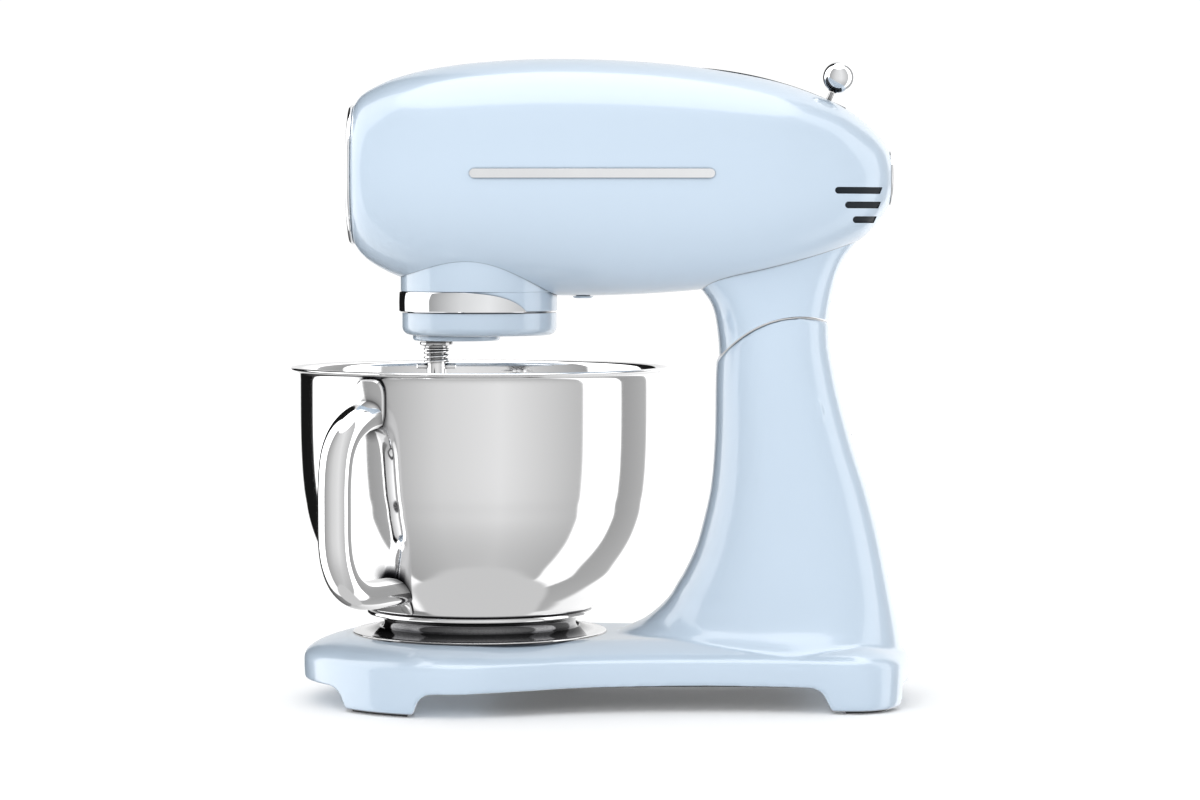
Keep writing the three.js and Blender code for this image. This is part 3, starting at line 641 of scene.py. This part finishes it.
head_shell()
vent_grille("vent_grille_left", -1)
vent_grille("vent_grille_right", 1)
side_trim("side_trim_left", -1)
side_trim("side_trim_right", 1)


def speed_strip():
    strip = arc_band("speed_strip_inlay", (ARC_R - 1, ARC_R + 0.1), (1.7, 26.5), 6.9)
    cut(strip, lever_slot())
    return finish(round_edges(strip, 0.4), "head", "dark_plastic", "speed_strip")


speed_strip()


def nose():
    ring = [
        (38.6, NOSE_X - 0.2), (40.6, NOSE_X - 0.2), (41.1, NOSE_X - 0.8), (41, NOSE_X - 1.8),
        (40.3, NOSE_X - 2.6), (39.4, NOSE_X - 2.9), (38.7, NOSE_X - 2.5),
    ]
    rim = lathe("nose_ring_rim", ring, lengthwise(PTO_Z), 160)
    finish(rim, "head", "chrome", "nose_ring", sharp=math.radians(60))
    dome = [(38.2 * math.sin(a), NOSE_X - 0.4 - 4.1 * math.cos(a)) for a in spread(math.pi / 2, 0, 16)]
    stub = [(0, -128.5), (7.4, -128.5), (8, -129.1), (8, NOSE_X), (38.2, NOSE_X)]
    finish(lathe("nose_cap_disc", stub + dome, lengthwise(PTO_Z), 160), "cap", "chrome", "nose_cap")


nose()


def rear_cap():
    rings = []
    for inset, out in ((0, 0.3), (0, 0.9), (0.5, 1.35), (1.6, 1.6), (5, 1.75), (10, 1.85), (14.5, 1.9)):
        loop = superellipse(96, 17.6 - inset, 16 - inset, 2.1)
        rings.append([(TAIL_X + out, y, z + TAIL_Z) for y, z in loop])
    return finish(loft("rear_cap_disc", rings), "head", "chrome", "rear_cap")


rear_cap()


def belly_plug():
    profile = [(0, 237.3), (4.6, 237.3), (5.6, 237.7), (6.2, 238.4), (4.2, 238.5), (4.2, 244), (0, 244)]
    return finish(lathe("belly_plug_cap", profile, upright(-10), 64), "head", "paint", "belly_plug")


belly_plug()

# ---- planetary drive -------------------------------------------------------------------------------------


def housing():
    r = HOUSING_R
    profile = [
        (r - 3, 230), (r - 0.9, 230), (r - 0.5, 230.4), (r - 0.5, 241.2), (r - 0.1, 241.5), (r, 241.9),
        (r, 259.6), (12.4, 259.6), (12.4, 256.6), (r - 3, 256.6),
    ]
    collar = lathe("planetary_collar", profile, upright(AXIS_X), 160)
    return finish(collar, "head", "paint", "planetary_housing")


def chrome_band():
    r = HOUSING_R
    profile = [
        (r - 0.3, 229.6), (r + 0.7, 229.6), (r + 1, 230), (r + 1.1, 235), (r + 0.9, 240.6),
        (r + 0.5, 241.2), (r - 0.3, 241.2),
    ]
    band = lathe("chrome_band_wrap", profile, upright(AXIS_X), 200)
    top_edge = through([(-125, 241.6), (-84, 241.2), (-66, 240), (-54, 237.4), (-46, 233.2), (-42, 229)])
    side = [(x, top_edge(x)) for x in spread(-125, -42, 40)] + [(-125, 229)]
    overlap(band, prism("side", side, -60, 60))
    return finish(band, "head", "chrome", "chrome_band")


def carrier():
    profile = [(0, 215.6), (36, 215.6)] + arc((40.6, 220.6), 5, 270, 360, 8) + [
        (45.6, 228.8), (42.6, 228.9), (42.6, 238), (0, 238),
    ]
    disc = lathe("planet_disc", profile, upright(AXIS_X), 160)
    boss = [(0, 212.3)] + arc((24.2, 213.9), 1.6, 270, 360, 5) + [(25.8, 222), (0, 222)]
    join(disc, lathe("boss", boss, upright(AXIS_X - 13.6), 128))
    cut(disc, rod("beater_way", 6.6, 200, 242, upright(BEATER_X), 64))
    cut(disc, rod("shaft_way", 6.3, 226, 242, upright(AXIS_X), 64))
    return finish(disc, "carrier", "paint", "planet_carrier")


def beater_shaft():
    profile = [
        (0, 192), (4.9, 192), (5.7, 192.8), (5.7, 207.6), (6.9, 208.2), (6.9, 208.9), (9.2, 209.5),
        (9.7, 210), (9.7, 211.2), (9.3, 211.6), (6.2, 211.6), (6.2, 253.6), (0, 253.6),
    ]
    shaft = lathe("beater_spindle", profile, upright(BEATER_X), 96)
    pin = [(0, -11.6), (1.3, -11.6), (1.7, -11.2), (1.7, 11.2), (1.3, 11.6), (0, 11.6)]
    place = lengthwise(197)
    join(shaft, lathe("pin", pin, lambda r, a, h: place(r, a, h + BEATER_X), 32))
    return finish(shaft, "beater", "polished_steel", "beater_shaft")


def coil(name, wire, radius, x, z0, z1, turns, steps=40, sides=12):
    """A helical wire spring; each end turn lies flat, as ground springs do."""
    rings = []
    count = int(turns * steps)
    for i in range(count + 1):
        t = i / count
        a = 2 * math.pi * turns * t
        rise = min(max((t * turns - 0.6) / (turns - 1.2), 0), 1)
        z = z0 + wire + (z1 - z0 - 2 * wire) * rise
        ring = []
        for k in range(sides):
            b = 2 * math.pi * k / sides
            r = radius + wire * math.cos(b)
            ring.append((x + r * math.cos(a), r * math.sin(a), z + wire * math.sin(b)))
        rings.append(ring)
    return loft(name, rings)


def beater_spring():
    spring = coil("beater_spring_wire", 0.6, 6.9, BEATER_X, 199.2, 207.8, 4)
    return finish(spring, "beater", "polished_steel", "beater_spring")


housing()
chrome_band()
carrier()
beater_shaft()
beater_spring()

# ---- speed lever -----------------------------------------------------------------------------------------


def lever():
    tilt = math.radians(LEVER_ANGLE)
    across = Vector((math.cos(tilt), 0, -math.sin(tilt)))
    out = Vector((math.sin(tilt), 0, math.cos(tilt)))
    foot = Vector((ARC_X, 0, ARC_Z))

    def place(r, a, h):
        return tuple(foot + out * h + across * (r * math.cos(a)) + Vector((0, r * math.sin(a), 0)))

    low, high = ARC_R - 5.4, ARC_R + 5.2
    stem = [(0, low), (1.6, low), (1.6, high), (0, high)]
    finish(lathe("lever_rod", stem, place, 48), "lever", "polished_steel", "lever_stem")
    centre = ARC_R + 14.9
    ball = [(KNOB_R * math.cos(a), centre + KNOB_R * math.sin(a)) for a in spread(-1.24, math.pi / 2, 40)]
    ball[-1] = (0, centre + KNOB_R)
    collar = [(0, high + 0.3), (2.3, high + 0.3), (2.6, high + 0.6)]
    finish(lathe("lever_knob", collar + ball, place, 96), "lever", "chrome", "lever_ball")


lever()

# ---- neck ------------------------------------------------------------------------------------------------

neck_front = through([
    (186, 70.9), (200, 70.8), (216, 69.8), (232, 66.7), (242, 60.3), (252, 50), (266, 36),
])
neck_rear = through([
    (186, 133.5), (212, 133.8), (224, 134.7), (244, 137.8), (258, 142.4), (268, 149.2), (276, 157),
])
neck_half = through([
    (186, 41.6), (215, 40.4), (232, 37), (244, 33.6), (258, 30.6), (276, 28),
])


def stack(name, heights, front, rear, half, power, count, flare=lambda z: 0):
    rings = []
    for z in heights:
        mid = (front(z) + rear(z)) / 2
        loop = superellipse(count, rear(z) - mid, half(z), power, flare(z))
        rings.append([(x + mid, y, z) for x, y in loop])
    return loft(name, rings)


def hinge_rod(name, radius, half_length, segments=96):
    return rod(name, radius, -half_length, half_length, crosswise(HINGE_X, HINGE_Z), segments)


def hinge_polar(radius, degrees):
    return polar((HINGE_X, HINGE_Z), radius, degrees)


def neck():
    body = stack("neck_cover", spread(188, 276, 60), neck_front, neck_rear, neck_half, 2.7, 120)
    cut(body, hinge_rod("saddle", PARTING_R + PARTING_GAP, 80, 256))
    tongue = [hinge_polar(12, 140), hinge_polar(62, 124), hinge_polar(62, 94), hinge_polar(14, 60)]
    join(body, prism("tongue", tongue, -TONGUE_HALF, TONGUE_HALF))
    join(body, hinge_rod("knuckle", 15, TONGUE_HALF))
    cut(body, head_body("head", -0.25))
    cut(body, hinge_rod("pin_way", PIN_WAY_R, 40, 48))
    return finish(body, "head", "paint", "neck_casting")


neck()

# ---- stand -----------------------------------------------------------------------------------------------

column_front = through([
    (30, 0), (38, 8), (42, 16), (46.6, 26), (54, 35.5), (61, 42), (68, 46.1), (75, 50.3), (89, 56.8),
    (103, 60.9), (125, 65.7), (153, 68), (190, 68.6), (203, 69.2), (230, 70.6),
])
column_rear = through([
    (30, 178.6), (39.5, 177.5), (68, 171.6), (96, 165.6), (125, 158), (153, 149), (181.5, 141.4),
    (196, 138.4), (210, 136), (230, 135.3),
])
column_half = through([
    (30, 66), (40, 61), (46.6, 57.5), (54, 54.5), (61, 52.5), (75, 49.8), (96, 46.6), (120, 44.4),
    (150, 42.8), (190, 41.6), (215, 40.4), (230, 37.4),
])
column_flare = through([(30, 0.36), (42, 0.27), (60, 0.16), (90, 0.05), (120, 0), (230, 0)])

# Half of the base seen from above, from the front centre to the rear centre.
BASE_EDGE = [
    (-175.3, 0), (-171, 30), (-157, 57), (-132, 83), (-100, 98.5), (-72, 100), (-44, 91), (-14, 79),
    (25, 72.5), (65, 71), (105, 74), (135, 80.5), (154, 80), (169, 69), (178, 44), (181.4, 20),
]


def closed_curve(points, count):
    """Evenly spaced points and tangents on a smooth closed curve."""
    wrapped = points[-2:] + points + points[:2]
    at, total = [], 0.0
    for i, p in enumerate(wrapped):
        if i:
            total += math.dist(p, wrapped[i - 1]) ** 0.5
        at.append(total)
    fx = through([(t, p[0]) for t, p in zip(at, wrapped)])
    fy = through([(t, p[1]) for t, p in zip(at, wrapped)])
    start, end = at[2], at[-2]
    fine = [(fx(t), fy(t)) for t in spread(start, end, count * 8)]
    lengths = [0.0]
    for a, b in zip(fine, fine[1:]):
        lengths.append(lengths[-1] + math.dist(a, b))
    samples, k = [], 0
    for i in range(count):
        goal = lengths[-1] * i / count
        while lengths[k + 1] < goal:
            k += 1
        part = (goal - lengths[k]) / (lengths[k + 1] - lengths[k])
        a, b = fine[k], fine[k + 1]
        tangent = Vector((b[0] - a[0], b[1] - a[1])).normalized()
        samples.append(((a[0] + (b[0] - a[0]) * part, a[1] + (b[1] - a[1]) * part), tangent))
    return samples


near_side = [(x, -y) for x, y in BASE_EDGE]
far_side = [(x, y) for x, y in reversed(BASE_EDGE[1:])]
base_samples = closed_curve(near_side + far_side, 360)


def base_ring(inset, z):
    return [(p[0] - inset * t.y, p[1] + inset * t.x, z) for p, t in base_samples]


def base_layer(name, rows):
    return loft(name, [base_ring(inset, z) for inset, z in rows])


FEET = [
    ("foot_front_left", (-147, -106), -1),
    ("foot_front_right", (-147, -106), 1),
    ("foot_rear_left", (137, 190), -1),
    ("foot_rear_right", (137, 190), 1),
]


def foot_pad(name, xs, side, grow):
    y0, y1 = sorted((side * (FOOT_Y + 4 - grow), side * 120))
    pad = base_layer(name, [(7 - grow, 0), (7 - grow, 4 + grow)])
    return overlap(pad, block("bounds", (xs[0] + 4 - grow, xs[1] - 4 + grow), (y0, y1), (-1, 10)))


def arches():
    side = [(-108, -5), (-106.5, 1.6), (-104.4, 8), (-102.6, 11), (-99.6, 13.2), (-95, SKIRT_Z)]
    side += [(0, SKIRT_Z + 1.2), (60, SKIRT_Z + 1.6), (122, SKIRT_Z + 1)]
    side += [(127, SKIRT_Z - 1), (130, 8), (133, 2), (136, -5)]
    front = [(-200, -5), (-200, SKIRT_Z), (-156, SKIRT_Z)]
    front += [(-151.5, SKIRT_Z - 2), (-149, 8), (-147, 2), (-145, -5)]
    return [
        prism("side_arch", side, -120, 120),
        prism("front_arch", front, -120, 120),
        block("middle", (-200, 200), (-FOOT_Y, FOOT_Y), (-5, SKIRT_Z)),
    ]


def stand():
    rows = [
        (1.4, FOOT_Z), (0.8, 6), (0.3, SKIRT_Z - 1), (0, 20), (0, 26), (0.6, 28), (2, 29.9), (4.3, 31.7),
        (7.6, 33.6), (12, 35.4), (17, 37.1), (23, 38.7), (29, BASE_TOP),
    ]
    body = base_layer("stand_body", rows)
    heights = spread(32, 229, 120)
    column = stack("column", heights, column_front, column_rear, column_half, 2.5, 160, column_flare)
    keep = hinge_rod("crown", PARTING_R - PARTING_GAP, 90, 256)
    join(keep, block("below", (-200, 250), (-119, 119), (-5, 192)))
    overlap(column, keep)
    join(body, column)
    cut(body, base_layer("cavity", [(STAND_WALL, SKIRT_Z - 3), (STAND_WALL, 26), (16, 30), (28, 34)]))
    cut(body, stack(
        "shaft",
        spread(20, 186, 24),
        lambda z: column_front(z + 8) + STAND_WALL,
        lambda z: column_rear(z) - STAND_WALL,
        lambda z: column_half(z) - STAND_WALL,
        2.5,
        64,
    ))
    cut(body, *arches())
    for side in (-1, 1):
        y0, y1 = sorted((side * 38, side * (TONGUE_HALF + 2)))
        join(body, rod("cheek", 13, y0, y1, crosswise(HINGE_X, HINGE_Z), 64))
    corners = ((20, 150), (70, 128), (80, 105), (80, 66), (70, 44), (10, 20), (20, -60), (20, 210))
    mouth = [hinge_polar(radius, degrees) for radius, degrees in corners]
    cut(body, prism("mouth", mouth, -TONGUE_HALF - 1.6, TONGUE_HALF + 1.6))
    cut(body, hinge_rod("pin_way", PIN_WAY_R, 35, 48))
    cut(body, rod("button_way", 9.6, 130, 170, lengthwise(BUTTON_Z), 64))
    cut(body, rod("cord_way", 5.4, 165, 190, lengthwise(CORD_Z), 48))
    for _, xs, side in FEET:
        cut(body, foot_pad("pocket", xs, side, 0.3))
    remelt(body, STAND_VOXEL, 6)
    return finish(body, "stand", "paint", "stand_casting", sharp=math.pi)


stand()
for foot_name, foot_xs, foot_side in FEET:
    pad = round_edges(foot_pad(foot_name + "_pad", foot_xs, foot_side, 0), 0.8)
    finish(pad, "stand", "rubber", foot_name)


def base_plate():
    plate = base_layer("base_cover", [(6.5, SKIRT_Z + 0.4), (6.5, SKIRT_Z + 2.4)])
    return finish(plate, "stand", "dark_plastic", "base_plate")


def button():
    profile = [(0, 127), (3, 127), (3, 137.4), (9, 137.4), (9, 147.6)] + arc((7.6, 147.8), 1.4, 0, 80, 6)
    profile += [(6, 149.1), (3, 148.6), (0, 148.4)]
    cap = lathe("release_button_cap", profile, lengthwise(BUTTON_Z), 96)
    return finish(cap, "button", "chrome", "release_button")


def cord_gland():
    profile = [
        (2.6, 175.6), (5, 175.6), (5, 180.2), (4.8, 180.8), (4.2, 181.1), (3.4, 181.1), (2.8, 180.9),
        (2.6, 180.5),
    ]
    return finish(lathe("cord_gland_boot", profile, lengthwise(CORD_Z), 64), "stand", "rubber", "cord_gland")


base_plate()
button()
cord_gland()

# ---- bowl ------------------------------------------------------------------------------------------------

BOWL_WALL = 1.2
bowl_radius = through([
    (50.4, 50), (51, 58), (53.7, 65.4), (60.8, 73.3), (67.9, 80.2), (75, 86), (82.1, 90.4), (89.2, 94.2),
    (96.3, 97.3), (103.4, 99.7), (110.5, 101.5), (117.6, 102.7), (124.7, 103.8), (139, 105), (160, 105.7),
    (192, 105.8),
])


def bowl_shell():
    heights = [50.4, 50.6, 51, 51.8, 52.8, 54, 55.6, 58] + spread(61, 141, 40) + spread(145, 190, 12)
    outer = [(0, 50.4), (30, 50.4)] + [(bowl_radius(z), z) for z in heights]
    rim = [
        (106, 192.6), (106.6, 193.8), (107.8, 194.6), (109.4, 195), (110.6, 195.3), (111.2, 195.8),
        (111.3, 196.3), (110.8, 196.8), (109.6, 197), (107.6, 196.9), (105.9, 196.2), (105, 195),
        (104.7, 193.4),
    ]
    inner = []
    for (r0, z0), (r1, z1) in zip(outer[1:], outer[2:]):
        along = Vector((r1 - r0, z1 - z0)).normalized()
        inner.append(((r0 + r1) / 2 - BOWL_WALL * along.y, (z0 + z1) / 2 + BOWL_WALL * along.x))
    profile = outer + rim + inner[::-1] + [(0, 50.4 + BOWL_WALL)]
    shell = lathe("bowl_skin", profile, upright(AXIS_X), 224)
    return finish(shell, "bowl", "polished_steel", "bowl_shell", sharp=math.radians(50))


def bowl_foot():
    profile = [
        (50, 41.8), (57.8, 41.8), (58.2, 42.2), (57.2, 43.6), (56.8, 45.2), (56.9, 47), (57.8, 48.6),
        (59.6, 49.7), (62, 50.4), (65.4, 51), (66.2, 51.3), (66.6, 51.9), (66.6, 52.8), (66.3, 53.3),
        (65.8, 53.3), (62, 51.6), (57, 50.3), (50, 49.9),
    ]
    ring = lathe("bowl_foot_ring", profile, upright(AXIS_X), 192)
    return finish(ring, "bowl", "polished_steel", "bowl_foot")


def seat_ring():
    profile = [
        (24, 39.8), (74.6, 39.8), (75, 40.1), (75, 40.5), (74.4, 40.8), (71, 41), (67, 41.7),
        (63.4, 42.7), (61, 43.7), (60, 44), (59.2, 43.8), (58.9, 43.2), (58.8, 41.4), (24, 41.4),
    ]
    ring = lathe("seat_ring_plate", profile, upright(AXIS_X), 192)
    return finish(ring, "stand", "polished_steel", "seat_ring")


HANDLE_TURN = math.radians(-124)


def handle_frame(u, across, z):
    """Handle coordinates: u out from the bowl axis, across the bar, and up."""
    c, s = math.cos(HANDLE_TURN), math.sin(HANDLE_TURN)
    return AXIS_X + u * c - across * s, u * s + across * c, z


def smooth_path(points, steps):
    at = [0.0]
    for a, b in zip(points, points[1:]):
        at.append(at[-1] + math.dist(a, b))
    fu = through([(t, p[0]) for t, p in zip(at, points)])
    fz = through([(t, p[1]) for t, p in zip(at, points)])
    return [(fu(t), fz(t)) for t in spread(0, at[-1], steps)]


def handle_bar():
    """The grip: a D section, round outside and ridged along each inner edge, swept along its side view."""
    path = smooth_path([
        (97, 173), (108, 172.4), (119, 169.6), (129.7, 162.6), (136.4, 152), (139, 137.5), (139.4, 118),
        (139, 101), (136.6, 89.5), (130.6, 79), (121, 72.2), (110, 70), (92, 70), (74, 70),
    ], 100)
    outside = arc((0, 0), 1, 0, 180, 24)
    section = [(9.8 * c, 8.4 * s) for c, s in outside]
    section += [(-9.7, -2.4), (-9.2, -4.6), (-8.4, -5.8), (-7.4, -6.3)]
    section += [(-6.6, -6.9), (-5.2, -7.6), (-2.6, -8)]
    section += [(0, -8.1)] + [(-w, d) for w, d in reversed(section[-7:])]
    rings = []
    for i, (u, z) in enumerate(path):
        a, b = path[max(i - 1, 0)], path[min(i + 1, len(path) - 1)]
        along = Vector((b[0] - a[0], b[1] - a[1])).normalized()
        rings.append([handle_frame(u - along.y * d, w, z + along.x * d) for w, d in section])
    return loft("bowl_handle_loop", rings)


def wall_plate(name, outline, centre_z, radius, thickness):
    """A plate that lies on the bowl wall; the outline is (across, up) about its centre."""
    rings = []
    for scale, depth in ((0.05, 0), (0.5, 0), (1, 0), (1, 0.6), (0.93, 1), (0.5, 1), (0.05, 1)):
        ring = []
        for w, v in outline:
            z = centre_z + v * scale
            r = radius(z) + thickness * depth
            a = w * scale / r
            ring.append(handle_frame(r * math.cos(a), r * math.sin(a), z))
        rings.append(ring)
    return loft(name, rings)


def bowl_handle():
    bar = handle_bar()
    top = wall_plate("top_plate", superellipse(64, 10.5, 14, 3.4), 178.7, lambda z: 106.25, 2.2)
    tail = [(w * (0.72 + 0.028 * v), v) for w, v in superellipse(64, 9.5, 11, 2.6)]
    bottom = wall_plate("tail_plate", tail, 66, lambda z: bowl_radius(z) + 0.6, 1.8)
    clear = [(0, 40), (67, 40), (67, 53.6)]
    clear += [(bowl_radius(z) + 0.4, z) for z in spread(56, 190, 67)] + [(0, 190)]
    cut(bar, lathe("clear", clear, upright(AXIS_X), 224))
    join(bar, top)
    join(bar, bottom)
    return finish(bar, "bowl", "polished_steel", "bowl_handle")


bowl_shell()
bowl_foot()
seat_ring()
bowl_handle()

# ---- stage, light and camera -----------------------------------------------------------------------------


def stage():
    half = FLOOR_HALF
    mesh = bpy.data.meshes.new("floor")
    corners = [(-half, -half, 0), (half, -half, 0), (half, half, 0), (-half, half, 0)]
    mesh.from_pydata(corners, [], [(0, 1, 2, 3)])
    floor = bpy.data.objects.new("floor", mesh)
    bpy.context.scene.collection.objects.link(floor)
    made = Shader("pale_floor", (0.985, 0.985, 0.985), 0.7)
    made.vary_color(made.noise(3, 2), (0.98, 0.98, 0.98))
    floor.data.materials.append(made.material)
    floor.visible_glossy = False


def area_light(name, location, target, size, power):
    light = bpy.data.lights.new(name, "AREA")
    light.shape = "RECTANGLE"
    light.size, light.size_y = size
    light.energy = power
    obj = bpy.data.objects.new(name, light)
    obj.location = location
    obj.rotation_euler = (Vector(target) - Vector(location)).to_track_quat("-Z", "Y").to_euler()
    obj.visible_glossy = False
    bpy.context.scene.collection.objects.link(obj)


def color_ramp(nodes, stops, smooth=True):
    ramp = nodes.new("ShaderNodeValToRGB")
    ramp.color_ramp.interpolation = "EASE" if smooth else "LINEAR"
    elements = ramp.color_ramp.elements
    while len(elements) < len(stops):
        elements.new(0.5)
    for element, (position, level) in zip(elements, stops):
        element.position = position
        element.color = (level, level, level, 1)
    return ramp


def world():
    """A white studio: reflections see pale walls, bright panels beside and above, and a dark corner."""
    made = bpy.data.worlds.new("studio")
    made.use_nodes = True
    nodes, links = made.node_tree.nodes, made.node_tree.links
    background = nodes["Background"]
    direction = nodes.new("ShaderNodeSeparateXYZ")
    links.new(nodes.new("ShaderNodeTexCoord").outputs["Generated"], direction.inputs["Vector"])
    turn = nodes.new("ShaderNodeMath")
    turn.operation = "ARCTAN2"
    links.new(direction.outputs["X"], turn.inputs[0])
    minus_y = nodes.new("ShaderNodeMath")
    minus_y.operation = "MULTIPLY"
    minus_y.inputs[1].default_value = -1
    links.new(direction.outputs["Y"], minus_y.inputs[0])
    links.new(minus_y.outputs[0], turn.inputs[1])
    around = nodes.new("ShaderNodeMapRange")
    around.inputs["From Min"].default_value = -math.pi
    around.inputs["From Max"].default_value = math.pi
    links.new(turn.outputs[0], around.inputs["Value"])

    def at(degrees):
        return 0.5 + degrees / 360

    walls = color_ramp(nodes, [
        (0.0, 0.9), (at(-168), 0.9), (at(-166), DARK_CORNER), (at(-133), DARK_CORNER),
        (at(-131), PANEL), (at(-77), PANEL),
        (at(-75), 0.4), (at(-58), 0.55), (at(-25), 0.82), (at(15), 0.97), (at(71), 0.62),
        (at(73), PANEL), (at(103), PANEL),
        (at(105), 0.42), (at(136), 0.55), (at(140), 2.0), (1.0, 0.9),
    ], smooth=False)
    links.new(around.outputs["Result"], walls.inputs["Fac"])
    height = nodes.new("ShaderNodeMapRange")
    height.inputs["From Min"].default_value = -1
    links.new(direction.outputs["Z"], height.inputs["Value"])
    ceiling = color_ramp(nodes, [(0.0, 0.0), (0.935, 0.0), (0.948, 1.0), (1.0, 1.0)])
    low_walls = color_ramp(nodes, [(0.0, 0.6), (0.07, 0.6), (0.42, 0.0), (1.0, 0.0)])
    ground = color_ramp(nodes, [(0.0, 1.0), (0.055, 1.0), (0.07, 0.0), (1.0, 0.0)])
    shades = walls.outputs["Color"]
    for ramp, level in ((ceiling, CEILING), (low_walls, LOW_WALLS), (ground, GROUND)):
        links.new(height.outputs["Result"], ramp.inputs["Fac"])
        mix = nodes.new("ShaderNodeMix")
        mix.data_type = "RGBA"
        links.new(ramp.outputs["Color"], mix.inputs["Factor"])
        links.new(shades, mix.inputs["A"])
        mix.inputs["B"].default_value = (level, level, level, 1)
        shades = mix.outputs["Result"]
    path = nodes.new("ShaderNodeLightPath")
    glossy = nodes.new("ShaderNodeMix")
    glossy.data_type = "RGBA"
    links.new(path.outputs["Is Glossy Ray"], glossy.inputs["Factor"])
    glossy.inputs["A"].default_value = (AMBIENT, AMBIENT, AMBIENT, 1)
    links.new(shades, glossy.inputs["B"])
    links.new(glossy.outputs["Result"], background.inputs["Color"])
    background.inputs["Strength"].default_value = 1.0
    bpy.context.scene.world = made


def camera():
    data = bpy.data.cameras.new("camera")
    data.lens = FOCAL
    data.sensor_width = 36
    obj = bpy.data.objects.new("camera", data)
    obj.location = ORIGIN + Vector((0, -CAMERA_DISTANCE, CAMERA_HEIGHT)) * MM
    obj.rotation_euler = (math.radians(90 - CAMERA_PITCH), 0, 0)
    bpy.context.scene.collection.objects.link(obj)
    bpy.context.scene.camera = obj


stage()
world()
camera()
area_light("key_above", (-0.4, -1.1, 1.7), (0, 0, 0.2), (1.5, 0.9), KEY_WATTS)
area_light("fill_front", (-0.5, -2.0, 0.5), (0, 0, 0.1), (1.6, 0.9), FILL_WATTS)
bpy.context.scene.view_settings.view_transform = "Standard"
